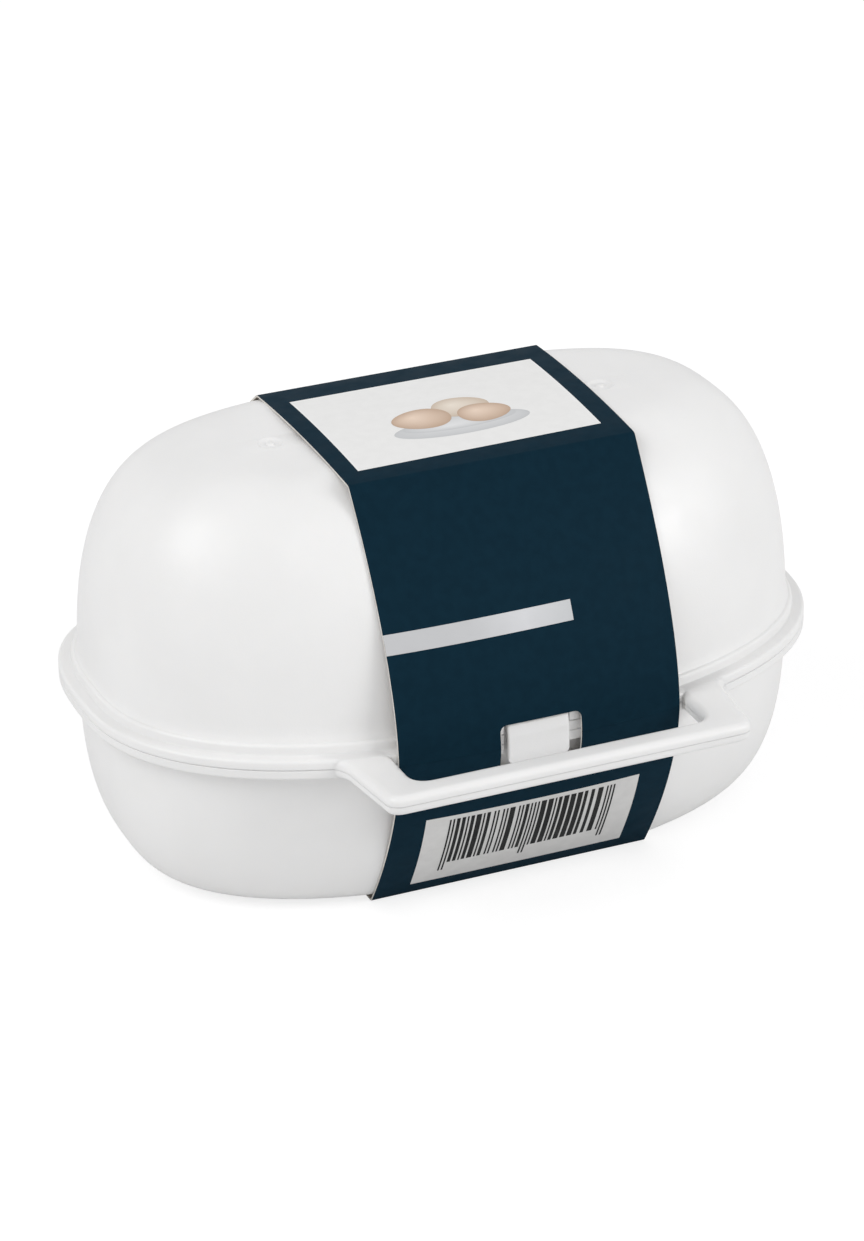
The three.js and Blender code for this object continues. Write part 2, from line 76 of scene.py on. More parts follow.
def place(x, y, z):
    """A point of the drawing in mm, as a point of the frame in metres."""
    return Vector((x * MM, (y + SHIFT_Y) * MM, (z + PARTING) * MM))


print("rim in mm:", 2 * RIM_LENGTH, "by", 2 * RIM_DEPTH)

# %% [markdown]
# ## The outline seen from above
#
# The outline lies between an ellipse and a rounded rectangle: a superellipse, whose power says
# how square it is. The front is rounder than the back, where the hinge needs a straighter edge.
# A bezier curve could be drawn by eye, but a formula gives every height of the wall its outline
# from the same few numbers. A level is one such outline: half its length, how far it reaches to
# the front and to the back, and its height.

# %% Outlines and levels
def reach(length, depth, power, x):
    """How far an outline reaches in Y at a place along X."""
    share = min(abs(x) / length, 1.0)
    return depth * (1 - share**power) ** (1 / power)


def outline_point(level, turn):
    c, s = math.cos(turn), math.sin(turn)
    power, depth = (FRONT_POWER, level[1]) if s < 0 else (BACK_POWER, level[2])
    x = level[0] * math.copysign(abs(c) ** (2 / power), c)
    y = depth * math.copysign(abs(s) ** (2 / power), s)
    return (x, y, level[3])


def rim_level(offset, z):
    """A level of the rim, at an offset out from the plain wall."""
    return (LENGTH + offset, DEPTH + offset, DEPTH + offset, z)


# How far the end, the front and the back draw in, and how square each of those curves is
LID_WALLS = ((29.2, 2.61), (30.7, 1.95), (26.0, 2.3))
BASE_WALLS = ((17.0, 2.72), (15.0, 2.0), (18.7, 2.73))


def wall_level(walls, rise, height, skin):
    """A level of a curved wall; skin is how far it lies inside the outer face."""
    share = min(height / (rise - skin), 1.0)
    in_by = [inset * (1 - max(1 - share**power, 0) ** (1 / power)) for inset, power in walls]
    return (LENGTH - skin - in_by[0], DEPTH - skin - in_by[1], DEPTH - skin - in_by[2], height)


def lid_level(height, skin):
    return wall_level(LID_WALLS, LID_RISE, height, skin)


def base_level(drop, skin):
    return (*wall_level(BASE_WALLS, BASE_DROP, drop, skin)[:3], -drop)


def curved_wall(level_at, start, end, skin, steps):
    """Levels up a wall, closer together where it turns over."""
    first = math.asin(start / end)
    turns = [first + i / steps * (math.pi / 2 - first) for i in range(steps + 1)]
    return [level_at(end * math.sin(turn), skin) for turn in turns]


# %% [markdown]
# ## The band's section
#
# The card sleeve bows from the rim to its folds, and it holds the shells behind it: under the
# band the front is a little flatter than the plain curve, so that the card lies straight across.
# So the section of the band comes first, as one power curve for each side of each half, and
# the shells are held just inside it. A smooth minimum does that without a crease.

# %% Band's section
RIM_GAP, SHELL_GAP, ACROSS_SHARE = 0.15, 0.12, 0.85
# For each half (1 is the upper) and side (-1 is the front): the fold's place and the bow's power
FOLDS = {(1, -1): (24.75, 1.65), (1, 1): (27.7, 3.1), (-1, -1): (33.0, 1.59), (-1, 1): (33.0, 3.1)}
FOLD_AT = {1: 53.3, -1: 41.0}


def band_reach(x, z, side, half):
    """How far out the card's inner face lies, at a height above or below the parting plane."""
    power = FRONT_POWER if side < 0 else BACK_POWER
    rim = reach(RIM_LENGTH, RIM_DEPTH, power, x * ACROSS_SHARE) + RIM_GAP
    fold, bow = FOLDS[half, side]
    return rim - (rim - fold) * min(max(z, 0) / FOLD_AT[half], 1.0) ** bow


def smooth_min(a, b, width=1.0):
    near = max(width - abs(a - b), 0) / width
    return min(a, b) - near * near * width / 4


def under_band(x, y, z, skin):
    """A point of a shell's wall, held inside the band; skin is how far it lies inside the wall."""
    side, half = (-1 if y < 0 else 1), (-1 if z < 0 else 1)
    inner = band_reach(x, abs(z), side, half) - SHELL_GAP - skin
    return (x, side * smooth_min(abs(y), inner), z)


print("the band's front at half height:", round(band_reach(0, 26, -1, 1), 2))

# %% [markdown]
# Equal steps of the formula's angle bunch up where the outline is flat, and that shows as
# uneven shading. So the rim is measured once with a fine step, and the turns are chosen that
# lie evenly along it. Every level then uses the same turns, so the quads line up.

# %% Even turns
STEPS = 240


def even_turns(count):
    dense = [i * 2 * math.pi / 6000 for i in range(6001)]
    ring = [outline_point(rim_level(FLANGE, 0), turn) for turn in dense]
    run = [0.0]
    for p, q in zip(ring, ring[1:]):
        run.append(run[-1] + math.dist(p[:2], q[:2]))
    turns, k = [], 0
    for i in range(count):
        goal = run[-1] * i / count
        while run[k + 1] < goal:
            k += 1
        share = (goal - run[k]) / (run[k + 1] - run[k])
        turns.append(dense[k] + share * (dense[k + 1] - dense[k]))
    return turns


TURNS = even_turns(STEPS)
print("points round the rim:", len(TURNS))

# %% [markdown]
# ## A builder for meshes
#
# Blender has modifiers that could round and thicken these shapes, but here each face should
# know its finish: the outside of the card is print, its inside is board and its cut is white.
# So a small class collects points and faces, each face with a material number, and turns them
# into one piece. Corners sharper than the given angle keep a crisp edge, the rest is smooth.

# %% Builder
class Builder:
    def __init__(self):
        self.points, self.faces, self.slots, self.tints = [], [], [], []

    def point(self, x, y, z, tint=0.0):
        self.points.append(place(x, y, z))
        self.tints.append(tint)
        return len(self.points) - 1

    def face(self, corners, slot=0):
        self.faces.append(tuple(corners))
        self.slots.append(slot)

    def strip(self, a, b, slot=0, closed=True):
        """Quads between two rings, or two open lines, of the same count."""
        for i in range(len(a) if closed else len(a) - 1):
            j = (i + 1) % len(a)
            self.face((a[i], a[j], b[j], b[i]), slot)

    def strips(self, rings, slot=0, closed=True, turned=False):
        """Strips from each ring or line to the next; turned flips the faces."""
        for a, b in zip(rings, rings[1:]):
            self.strip(*((b, a) if turned else (a, b)), slot, closed)

    def ring(self, level, skin=None):
        """A ring of points at a level; with a skin it is a wall that stays under the band."""
        ring = [outline_point(level, turn) for turn in TURNS]
        if skin is not None:
            ring = [under_band(*point, skin) for point in ring]
        return [self.point(*point) for point in ring]

    def loft(self, runs):
        """Rings through runs of levels, each with its skin; gives the first and the last ring."""
        rings = [self.ring(level, skin) for levels, skin in runs for level in levels]
        self.strips(rings)
        return rings[0], rings[-1]

    def cap(self, loops, up=True):
        """A flat face with holes, from rings of point numbers."""
        order = [i for loop in loops for i in loop]
        for corners in tessellate_polygon([[self.points[i] for i in loop] for loop in loops]):
            a, b, c = (order[k] for k in corners)
            normal = (self.points[b] - self.points[a]).cross(self.points[c] - self.points[a])
            self.face((a, b, c) if (normal.z > 0) == up else (a, c, b))

    def piece(self, name, materials, body=None, slot=None, replaces=None, sharp=40):
        """The finished object; an angle of 0 leaves it smooth all over, None leaves it flat."""
        mesh = bpy.data.meshes.new(name)
        mesh.from_pydata([tuple(p) for p in self.points], [], self.faces)
        for material in materials:
            mesh.materials.append(material)
        mesh.polygons.foreach_set("material_index", self.slots)
        mesh.polygons.foreach_set("use_smooth", [sharp is not None] * len(self.faces))
        if any(self.tints):
            tint = mesh.attributes.new("tint", "FLOAT", "POINT")
            tint.data.foreach_set("value", self.tints)
        mesh.update()
        if sharp:
            mesh.set_sharp_from_angle(angle=math.radians(sharp))
        made = bpy.data.objects.new(name, mesh)
        bpy.context.scene.collection.objects.link(made)
        settle(made, body, replaces)
        return made


def settle(piece, body, replaces):
    """Says which body the piece rides on, and hides the solid it stands for."""
    if body:
        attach(piece, body)
    if replaces:
        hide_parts(replaces)


# %% [markdown]
# ## Shader groups
#
# Four effects come back in many finishes here: a tone that drifts a little, a gloss that is
# not quite even, a fine relief, and edges that rubbing has changed, where on the card's folds a
# painted highlight is mixed in as well. Each one could be wired again in every material, but
# then a change would have to be made many times. A node group is built once, has named inputs
# and outputs, and every material places it with its own values. The Principled shader and the
# Bump nodes stay in the material, where the export can read them.

# %% Node helpers
def add_node(tree, kind, inputs=(), **settings):
    """A node with its settings; each input is linked if its value is a socket, or else set."""
    made = tree.nodes.new(kind)
    for key, value in settings.items():
        setattr(made, key, value)
    for key, value in dict(inputs).items():
        if isinstance(value, bpy.types.NodeSocket):
            tree.links.new(value, made.inputs[key])
        elif isinstance(value, tuple) and len(value) == 3 and made.inputs[key].type == "RGBA":
            made.inputs[key].default_value = (*value, 1)
        else:
            made.inputs[key].default_value = value
    return made


# The colour sockets of a Mix node come after its number and vector sockets
COLOUR_A, COLOUR_B, COLOUR_OUT = 6, 7, 2


def mix_colour(tree, factor, one, two):
    wiring = {0: factor, COLOUR_A: one, COLOUR_B: two}
    return add_node(tree, "ShaderNodeMix", wiring, data_type="RGBA").outputs[COLOUR_OUT]


def scaled(tree, value, low, high, out_low, out_high):
    """Stretches a range of values to another; all five may be numbers or sockets."""
    wiring = {"Value": value, "From Min": low, "From Max": high, "To Min": out_low, "To Max": out_high}
    return add_node(tree, "ShaderNodeMapRange", wiring).outputs["Result"]


def maths(tree, operation, a, b):
    return add_node(tree, "ShaderNodeMath", {0: a, 1: b}, operation=operation).outputs[0]


def new_group(name, inputs, outputs):
    """An empty shader group with its sockets; gives the tree, what comes in and what goes out."""
    group = bpy.data.node_groups.new(name, "ShaderNodeTree")
    for label, value in inputs.items():
        kind = "NodeSocketColor" if isinstance(value, tuple) else "NodeSocketFloat"
        socket = group.interface.new_socket(name=label, in_out="INPUT", socket_type=kind)
        socket.default_value = (*value, 1) if isinstance(value, tuple) else value
    for label, kind in outputs.items():
        group.interface.new_socket(name=label, in_out="OUTPUT", socket_type=f"NodeSocket{kind}")
    came_in = group.nodes.new("NodeGroupInput").outputs
    goes_out = group.nodes.new("NodeGroupOutput").inputs
    return group, came_in, goes_out


def set_inputs(node, **values):
    """Sets a node's inputs; a name has spaces where the argument has underscores."""
    for label, value in values.items():
        socket = node.inputs[label.replace("_", " ")]
        socket.default_value = (*value, 1) if socket.type == "RGBA" else value


def place_group(tree, group, **values):
    made = tree.nodes.new("ShaderNodeGroup")
    made.node_tree = group
    set_inputs(made, **values)
    return made.outputs


# %% [markdown]
# The first group is the drifting tone. Even a plain moulding or a flat print is never one
# single colour: pigment and ink vary by a percent or two over some millimetres. A soft noise in
# the object's own space picks between a tone and its shade, so nothing needs unwrapping.
# The second does the same to the roughness, which the eye notices first in a highlight.

# %% Groups for tone and gloss
def soft_noise(tree, scale, detail, roughness=0.5, where=None):
    if where is None:
        where = add_node(tree, "ShaderNodeTexCoord").outputs["Object"]
    wiring = {"Vector": where, "Scale": scale, "Detail": detail, "Roughness": roughness}
    return add_node(tree, "ShaderNodeTexNoise", wiring).outputs["Fac"]


tones = {"Tone": (0.8, 0.8, 0.8), "Shade": (0.7, 0.7, 0.7), "Scale": 60.0}
drifting_tone, inside, out = new_group("drifting_tone", tones, {"Colour": "Color"})
cloud = soft_noise(drifting_tone, inside["Scale"], 3.0)
share = scaled(drifting_tone, cloud, 0.35, 0.65, 0.0, 1.0)
toned = mix_colour(drifting_tone, share, inside["Tone"], inside["Shade"])
drifting_tone.links.new(toned, out["Colour"])

glosses = {"Roughness": 0.5, "Spread": 0.05, "Scale": 200.0}
uneven_gloss, inside, out = new_group("uneven_gloss", glosses, {"Roughness": "Float"})
cloud = soft_noise(uneven_gloss, inside["Scale"], 3.0)
low = maths(uneven_gloss, "SUBTRACT", inside["Roughness"], inside["Spread"])
high = maths(uneven_gloss, "ADD", inside["Roughness"], inside["Spread"])
uneven_gloss.links.new(scaled(uneven_gloss, cloud, 0.3, 0.7, low, high), out["Roughness"])
print("groups:", [group.name for group in bpy.data.node_groups])

# %% [markdown]
# The third group is the relief. A mould's face is spark eroded, which leaves a fine even
# grain of pits on the plastic; card has fibres instead, which lie along the sheet in crossing
# directions. Both are heights at two scales: a slow swell and a fine texture. The group mixes
# round grain with stretched fibre by an input, so one group serves plastic and card alike.
# The fourth finds edges: the Bevel node's normal differs from the true one only near an edge,
# and that difference, broken up by noise, is where handling polishes plastic or rubs off ink.
# On the card the same mask also paints a pale highlight along the folds.

# %% Groups for relief, and for rubbed edges with a painted fold highlight
scales = {"Grain Scale": 2400.0, "Swell Scale": 90.0, "Fibre": 0.0}
fine_relief, inside, out = new_group("fine_relief", scales, {"Grain": "Float", "Swell": "Float"})
here = add_node(fine_relief, "ShaderNodeTexCoord").outputs["Object"]
round_grain = soft_noise(fine_relief, inside["Grain Scale"], 2.0, 0.6, here)
fibres = []
for angle, stretch in ((0.4, (1.0, 0.12, 1.0)), (-0.7, (0.14, 1.0, 1.0)), (1.3, (1.0, 1.0, 0.15))):
    wiring = {"Vector": here, "Rotation": (angle, angle * 0.5, angle), "Scale": stretch}
    turned = add_node(fine_relief, "ShaderNodeMapping", wiring).outputs["Vector"]
    fibres.append(soft_noise(fine_relief, inside["Grain Scale"], 2.0, 0.6, turned))
crossed = maths(fine_relief, "MAXIMUM", maths(fine_relief, "MAXIMUM", fibres[0], fibres[1]), fibres[2])
wiring = {0: inside["Fibre"], 2: round_grain, 3: crossed}
fine_relief.links.new(add_node(fine_relief, "ShaderNodeMix", wiring).outputs[0], out["Grain"])
fine_relief.links.new(soft_noise(fine_relief, inside["Swell Scale"], 1.0, 0.5, here), out["Swell"])

# The edge mask: rubbed and polished edges, and on the card a painted highlight along the folds
widths, results = {"Width": 0.0004, "Patches": 300.0}, {"Mask": "Float", "Soft Normal": "Vector"}
rubbed_edge_and_highlight, inside, out = new_group("rubbed_edge_and_highlight", widths, results)
bevel = add_node(rubbed_edge_and_highlight, "ShaderNodeBevel", {"Radius": inside["Width"]}, samples=6)
rounded = bevel.outputs["Normal"]
true = add_node(rubbed_edge_and_highlight, "ShaderNodeNewGeometry").outputs["Normal"]
product = add_node(rubbed_edge_and_highlight, "ShaderNodeVectorMath", {0: rounded, 1: true}, operation="DOT_PRODUCT")
edge = scaled(rubbed_edge_and_highlight, product.outputs["Value"], 0.995, 0.90, 0.0, 1.0)
patches = scaled(rubbed_edge_and_highlight, soft_noise(rubbed_edge_and_highlight, inside["Patches"], 3.0), 0.42, 0.62, 0.0, 1.0)
rubbed_edge_and_highlight.links.new(maths(rubbed_edge_and_highlight, "MULTIPLY", edge, patches), out["Mask"])
rubbed_edge_and_highlight.links.new(rounded, out["Soft Normal"])
print("groups:", [group.name for group in bpy.data.node_groups])

# %% [markdown]
# ## Plastic
#
# The shells are satin polypropylene. It is nearly white, lets a little light in, and has a
# soft wide highlight from the eroded grain. A flat white with a high roughness would look like
# plaster, so a little subsurface light and two scales of bump are added. The handled edges are
# a touch smoother than the faces. Numbers that are the same all over, such as the index of
# refraction, are set on the shader itself.

# %% Plastic
def new_material(name):
    material = bpy.data.materials.new(name)
    material.use_nodes = True
    return material, material.node_tree, material.node_tree.nodes["Principled BSDF"]


def add_bumps(tree, bsdf, heights, normal=None):
    """Bump nodes in a chain, each with a height, a strength and a depth in metres."""
    for height, strength, depth in heights:
        wiring = {"Height": height, "Strength": strength, "Distance": depth}
        if normal:
            wiring["Normal"] = normal
        normal = add_node(tree, "ShaderNodeBump", wiring).outputs["Normal"]
    tree.links.new(normal, bsdf.inputs["Normal"])


def plastic_material(name, tone, shade, roughness):
    material, tree, bsdf = new_material(name)
    colour = place_group(tree, drifting_tone, Tone=tone, Shade=shade, Scale=55.0)["Colour"]
    tree.links.new(colour, bsdf.inputs["Base Color"])
    gloss = place_group(tree, uneven_gloss, Roughness=roughness, Spread=0.055, Scale=180.0)["Roughness"]
    rubbed = place_group(tree, rubbed_edge_and_highlight, Width=0.0004, Patches=260.0)
    polished = maths(tree, "MULTIPLY", rubbed["Mask"], 0.08)
    tree.links.new(maths(tree, "SUBTRACT", gloss, polished), bsdf.inputs["Roughness"])
    relief = place_group(tree, fine_relief, Grain_Scale=2400.0, Swell_Scale=90.0, Fibre=0.0)
    bumps = [(relief["Swell"], 0.10, 0.0006), (relief["Grain"], 0.16, 0.00012)]
    add_bumps(tree, bsdf, bumps, rubbed["Soft Normal"])
    set_inputs(bsdf, IOR=1.49, Subsurface_Weight=0.12, Subsurface_Scale=0.0022)
    set_inputs(bsdf, Subsurface_Radius=(1.0, 0.92, 0.82))
    return material


shell_plastic = plastic_material("satin_plastic", (0.815, 0.812, 0.805), (0.795, 0.792, 0.785), 0.40)
insert_plastic = plastic_material("insert_plastic", (0.82, 0.82, 0.81), (0.80, 0.80, 0.79), 0.44)
print("plastics:", shell_plastic.name, insert_plastic.name)

# %% [markdown]
# ## Card
#
# The sleeve is white-lined board, printed dark blue outside, with bare grey board inside and a
# pale cut all round. One function serves all three and the printed patches: the fibres are
# strong on bare board and nearly drowned by ink, and ink has a thin clear coat. On the dark
# blue, edges rub back to the white lining, and on the folds the same pale mix paints the
# highlight of the fold's crest, so its colour mixes towards pale by the edge mask. The slit at
# the parting plane is left out of that mask: on the closed sleeve it is no edge.

# %% Card
def card_material(name, tone, shade, roughness, fibre, coat=0.0, shine=0.5, rub_and_highlight_colour=None):
    material, tree, bsdf = new_material(name)
    colour = place_group(tree, drifting_tone, Tone=tone, Shade=shade, Scale=420.0)["Colour"]
    # Towards pale at the edges: rubbed ink, and a painted highlight along the folds
    if rub_and_highlight_colour:
        mask = place_group(tree, rubbed_edge_and_highlight, Width=0.00022, Patches=500.0)["Mask"]
        where = add_node(tree, "ShaderNodeTexCoord").outputs["Object"]
        height = add_node(tree, "ShaderNodeSeparateXYZ", {0: where}).outputs["Z"]
        off_slit = maths(tree, "ABSOLUTE", maths(tree, "SUBTRACT", height, PARTING * MM), 0.0)
        mask = maths(tree, "MULTIPLY", mask, scaled(tree, off_slit, 0.0006, 0.0015, 0.0, 0.10))
        colour = mix_colour(tree, mask, colour, rub_and_highlight_colour)
    tree.links.new(colour, bsdf.inputs["Base Color"])
    gloss = place_group(tree, uneven_gloss, Roughness=roughness, Spread=0.065, Scale=240.0)["Roughness"]
    tree.links.new(gloss, bsdf.inputs["Roughness"])
    relief = place_group(tree, fine_relief, Grain_Scale=3200.0, Swell_Scale=70.0, Fibre=0.8)
    add_bumps(tree, bsdf, [(relief["Swell"], 0.12, 0.0008), (relief["Grain"], fibre, 0.0001)])
    set_inputs(bsdf, IOR=1.5, Specular_IOR_Level=shine, Coat_Weight=coat, Coat_Roughness=0.32)
    return material


# The pale edge colour is the white lining, and on the folds it paints a highlight too
NAVY, NAVY_SHADE, LINING_AND_HIGHLIGHT = (0.0052, 0.0220, 0.0370), (0.0046, 0.0195, 0.0330), (0.30, 0.31, 0.32)
navy = card_material("navy_print", NAVY, NAVY_SHADE, 0.46, 0.10, shine=0.015, rub_and_highlight_colour=LINING_AND_HIGHLIGHT)
board_inside = card_material("grey_board", (0.42, 0.36, 0.30), (0.35, 0.295, 0.24), 0.85, 0.35)
board_edge = card_material("pale_cut_edge", (0.72, 0.70, 0.66), (0.60, 0.57, 0.53), 0.80, 0.40)
CARD_SLOTS = [navy, board_inside, board_edge]
PRINTED, BARE, CUT = range(3)
print("card finishes:", [material.name for material in CARD_SLOTS])

# %% [markdown]
# ## The handle
#
# The real handle is a flat loop on the front rim with well rounded edges, split at the parting
# plane so that the lid carries its upper half and the base its lower half. A curve with a
# bevel would give a round rod; this one is wider than it is tall. So its outline is drawn from
# above and stacked in sections that draw in towards the top, as a mould's edge is rounded.

# %% Handle outline
HANDLE_AT, GAP_HALF, BAR_FRONT, BAR_DEPTH = 1.25, 33.9, 67.7, 5.95
ARM_AT_RIM, ARM_AT_BAR, ARM_FLARE = GAP_HALF + 9.6, GAP_HALF + 8.1, 4.5
OUTER_CORNER, INNER_CORNER = 3.8, 4.2


def bend(p, q, r, steps=8):
    """Points of a curve that leaves p towards q and arrives at r, without the first."""
    out = []
    for i in range(1, steps + 1):
        t = i / steps
        shares = ((1 - t) ** 2, 2 * t * (1 - t), t * t)
        out.append(tuple(sum(k * at for k, at in zip(shares, ats)) for ats in zip(p, q, r)))
    return out


def arm_line(side):
    """One arm, from its root at the gap round the outside to the front of the bar."""
    middle = reach(LENGTH - WALL / 2, DEPTH - WALL / 2, FRONT_POWER, HANDLE_AT + side * ARM_AT_RIM)
    rim = reach(RIM_LENGTH, RIM_DEPTH, FRONT_POWER, HANDLE_AT + side * ARM_AT_RIM)
    line = []
    for i in range(9):
        x = GAP_HALF + (ARM_AT_RIM + ARM_FLARE - GAP_HALF) * i / 8
        line.append((x, -reach(LENGTH - WALL / 2, DEPTH - WALL / 2, FRONT_POWER, HANDLE_AT + side * x)))
    line.append((ARM_AT_RIM + ARM_FLARE, -max(rim - ARM_FLARE / 2, middle)))
    line += bend(line[-1], (ARM_AT_RIM, -rim), (ARM_AT_RIM, -rim - ARM_FLARE))
    line.append((ARM_AT_BAR, -BAR_FRONT + OUTER_CORNER))
    line += bend(line[-1], (ARM_AT_BAR, -BAR_FRONT), (ARM_AT_BAR - OUTER_CORNER, -BAR_FRONT))
    return [(HANDLE_AT + side * x, y) for x, y in line]


def handle_outline():
    """The whole loop, clockwise seen from above."""
    back = BAR_DEPTH - BAR_FRONT
    inner = [(-GAP_HALF, back + INNER_CORNER)]
    inner += bend(inner[-1], (-GAP_HALF, back), (-GAP_HALF + INNER_CORNER, back))
    inner += [(-x, y) for x, y in reversed(inner)]
    return arm_line(1) + arm_line(-1)[::-1] + [(HANDLE_AT + x, y) for x, y in inner]


print("points on the handle's outline:", len(handle_outline()))

# %% Handle halves
def drawn_inwards(line, distance):
    """A clockwise outline, moved inwards square to itself."""
    out = []
    for i, here in enumerate(line):
        before, after = Vector(line[i - 1]), Vector(line[(i + 1) % len(line)])
        into, away = (Vector(here) - before).normalized(), (after - Vector(here)).normalized()
        along = (into + away).normalized()
        stretch = distance / max(along.dot(into), 0.4)
        out.append((here[0] + along.y * stretch, here[1] - along.x * stretch))
    return out


HANDLE_TOP, EDGE_IN, EDGE_DOWN = FLANGE_TOP - 0.02, 1.65, 1.45


def handle_half(build, side):
    """The loop above (side 1) or below (side -1) the parting plane."""
    line = handle_outline()
    sections = [(0.0, HALF_GAP), (0.0, HANDLE_TOP - EDGE_DOWN)]
    for i in range(1, 9):
        turn = math.radians(90 * i / 8)
        drawn = EDGE_IN * (1 - math.cos(turn))
        sections.append((drawn, HANDLE_TOP - EDGE_DOWN + EDGE_DOWN * math.sin(turn)))
    rings = []
    for drawn, z in sections:
        rings.append([build.point(x, y, side * z) for x, y in drawn_inwards(line, drawn)])
    build.strips(rings, turned=side > 0)
    build.cap([rings[-1]], up=side > 0)
    build.cap([rings[0]], up=side < 0)


# %% [markdown]
# ## Small round and square forms
#
# Barrels, pins, bosses and noses are too small to draw by hand each time. A lathe turns a
# profile about an axis, which suits everything round, and a block comes from a bevelled cube,
# which catches the light on its edges as a moulded one does.

# %% Lathe and block
def lathe(build, profile, u0, v0, steps=64, along_x=False):
    """A profile of (radius, place) turned about an upright line, or about a line along X."""
    rings = []
    for radius, at in profile:
        ring = []
        for i in range(steps):
            turn = 2 * math.pi * i / steps
            u, v = u0 + radius * math.cos(turn), v0 + radius * math.sin(turn)
            ring.append(build.point(at, u, v) if along_x else build.point(u, v, at))
        rings.append(ring)
    build.strips(rings)
    return rings


AXIS_HOLE = 0.001


def rod_along_x(build, x0, x1, radius, y, z, edge=0.35, hole=AXIS_HOLE):
    """A round bar with rounded rims; with a wider hole it is a ring."""
    turns = [math.radians(90 * i / 4) for i in range(5)]
    rim = [(radius - edge * (1 - math.sin(turn)), edge * (1 - math.cos(turn))) for turn in turns]
    profile = [(hole, x0)] + [(at, x0 + inward) for at, inward in rim]
    profile += [(at, x1 - inward) for at, inward in reversed(rim)] + [(hole, x1)]
    if hole > AXIS_HOLE:
        profile.append((hole, x0))
    lathe(build, profile, y, z, 48, along_x=True)


def rounded_block(build, low, high, radius):
    bm = bmesh.new()
    bmesh.ops.create_cube(bm, size=1)
    for v in bm.verts:
        v.co = Vector([a + (share + 0.5) * (b - a) for a, b, share in zip(low, high, v.co)])
    bmesh.ops.bevel(bm, geom=bm.edges[:], offset=radius, segments=3, profile=0.5, affect="EDGES")
    bm.verts.ensure_lookup_table()
    numbers = [build.point(*v.co) for v in bm.verts]
    for f in bm.faces:
        build.face([numbers[v.index] for v in f.verts])
    bm.free()


# %% [markdown]
# A notch in a finished skin is easier to cut than to draw round. The Boolean modifier does it
# with a plain block, and its result is stored at once, so no cutter stays in the scene. The
# notch for the latch is cut twice in each rim: wide and shallow, and deep just behind the tab.

# %% Cutting
def cut(piece, cutter):
    modifier = piece.modifiers.new("cut", "BOOLEAN")
    modifier.operation, modifier.solver, modifier.object = "DIFFERENCE", "EXACT", cutter
    bpy.context.view_layer.update()
    graph = bpy.context.evaluated_depsgraph_get()
    mesh = bpy.data.meshes.new_from_object(piece.evaluated_get(graph))
    piece.modifiers.remove(modifier)
    whole, piece.data = piece.data, mesh
    bpy.data.meshes.remove(whole)
    bpy.data.objects.remove(cutter)


def notch_block(half, back, low, high):
    """The space that the latch needs in the rim, back to a given Y."""
    build = Builder()
    spans = ((-half, half), (-RIM_DEPTH - 6, back), (low, high))
    corners = [build.point(x, y, z) for x in spans[0] for y in spans[1] for z in spans[2]]
    for f in ((0, 1, 3, 2), (4, 6, 7, 5), (0, 4, 5, 1), (2, 3, 7, 6), (0, 2, 6, 4), (1, 5, 7, 3)):
        build.face([corners[k] for k in f])
    return build.piece("notch", (), sharp=None)


NOTCH_HALF, NOTCH_BACK, TAB_NOTCH = 10.55, -50.75, 7.5


def cut_notch(piece, tab_back, low, high):
    for half, back in ((NOTCH_HALF, NOTCH_BACK), (TAB_NOTCH, tab_back)):
        cut(piece, notch_block(half, back, low, high))


# %% [markdown]
# ## The lid
#
# The lid is a thin dome with a stepped rim: a flange, a ledge, a rounded bead and a soft
# shoulder below the plain wall. All of that is one run of levels, from the inside of the dome
# down to the parting plane and up again outside, so one loft makes the whole shell with its
# true thickness. The gate marks on the top, where the plastic entered the mould, are shallow
# turned dimples with a nub; the flat top is filled in round them.

# %% Lid shell
def corner_arc(offset, height, radius, start, end, steps=5):
    """Levels on a rounded corner of the rim, with angles in degrees."""
    out = []
    for i in range(steps + 1):
        turn = math.radians(start + (end - start) * i / steps)
        out.append(rim_level(offset + radius * math.cos(turn), height + radius * math.sin(turn)))
    return out


# Where the gate marks are, and their profile as radius and height: a raised ring, a dimple, a nub
GATES = ((-37.9, 2.5), (39.2, 1.3))
GATE_PROFILE = (
    (3.3, 0), (3.15, 0.04), (2.95, 0.06), (2.75, 0.0), (2.55, -0.16), (2.3, -0.3), (1.9, -0.34),
    (1.15, -0.34), (0.95, -0.3), (0.85, -0.05), (0.7, 0.05), (AXIS_HOLE, 0.06),
)
FACE_EDGE, FLANGE_ROUND, BEAD_ROUND = 0.15, 0.7, 0.75
lid = Builder()
rim_steps = [rim_level(-WALL, FACE_GAP), rim_level(FLANGE - FACE_EDGE, FACE_GAP)]
rim_steps.append(rim_level(FLANGE, FACE_GAP + FACE_EDGE))
rim_steps += corner_arc(FLANGE - FLANGE_ROUND, FLANGE_TOP - FLANGE_ROUND, FLANGE_ROUND, 0, 90)
rim_steps += [rim_level(BEAD + out, FLANGE_TOP + up) for out, up in ((0.5, 0), (0.15, 0.12), (0, 0.45))]
rim_steps += corner_arc(BEAD - BEAD_ROUND, BEAD_TOP - BEAD_ROUND, BEAD_ROUND, 0, 90)
rim_steps += [rim_level(0.3, SHOULDER_TOP - 1.5), rim_level(0.08, SHOULDER_TOP - 0.8)]
hollow = curved_wall(lid_level, 0.3, LID_RISE - WALL, WALL, 36)[::-1]
dome = curved_wall(lid_level, SHOULDER_TOP, LID_RISE, 0, 44)
first, last = lid.loft([(hollow, WALL), (rim_steps, None), (dome, 0)])
lid.cap([first], up=False)
profile = [(radius, LID_RISE + up) for radius, up in GATE_PROFILE]
lid.cap([last] + [lathe(lid, profile, x, y, 48)[0] for x, y in GATES])
handle_half(lid, 1)
print("faces of the lid shell:", len(lid.faces))

# %% [markdown]
# The hinge is a barrel on an arm with a pin through it, at 40 mm to each side of the middle.
# The boss behind the latch is where its thin film starts, with a small ledge on each side. It
# is a piece of its own, because the notch is cut through the rim first and the boss stands in it.

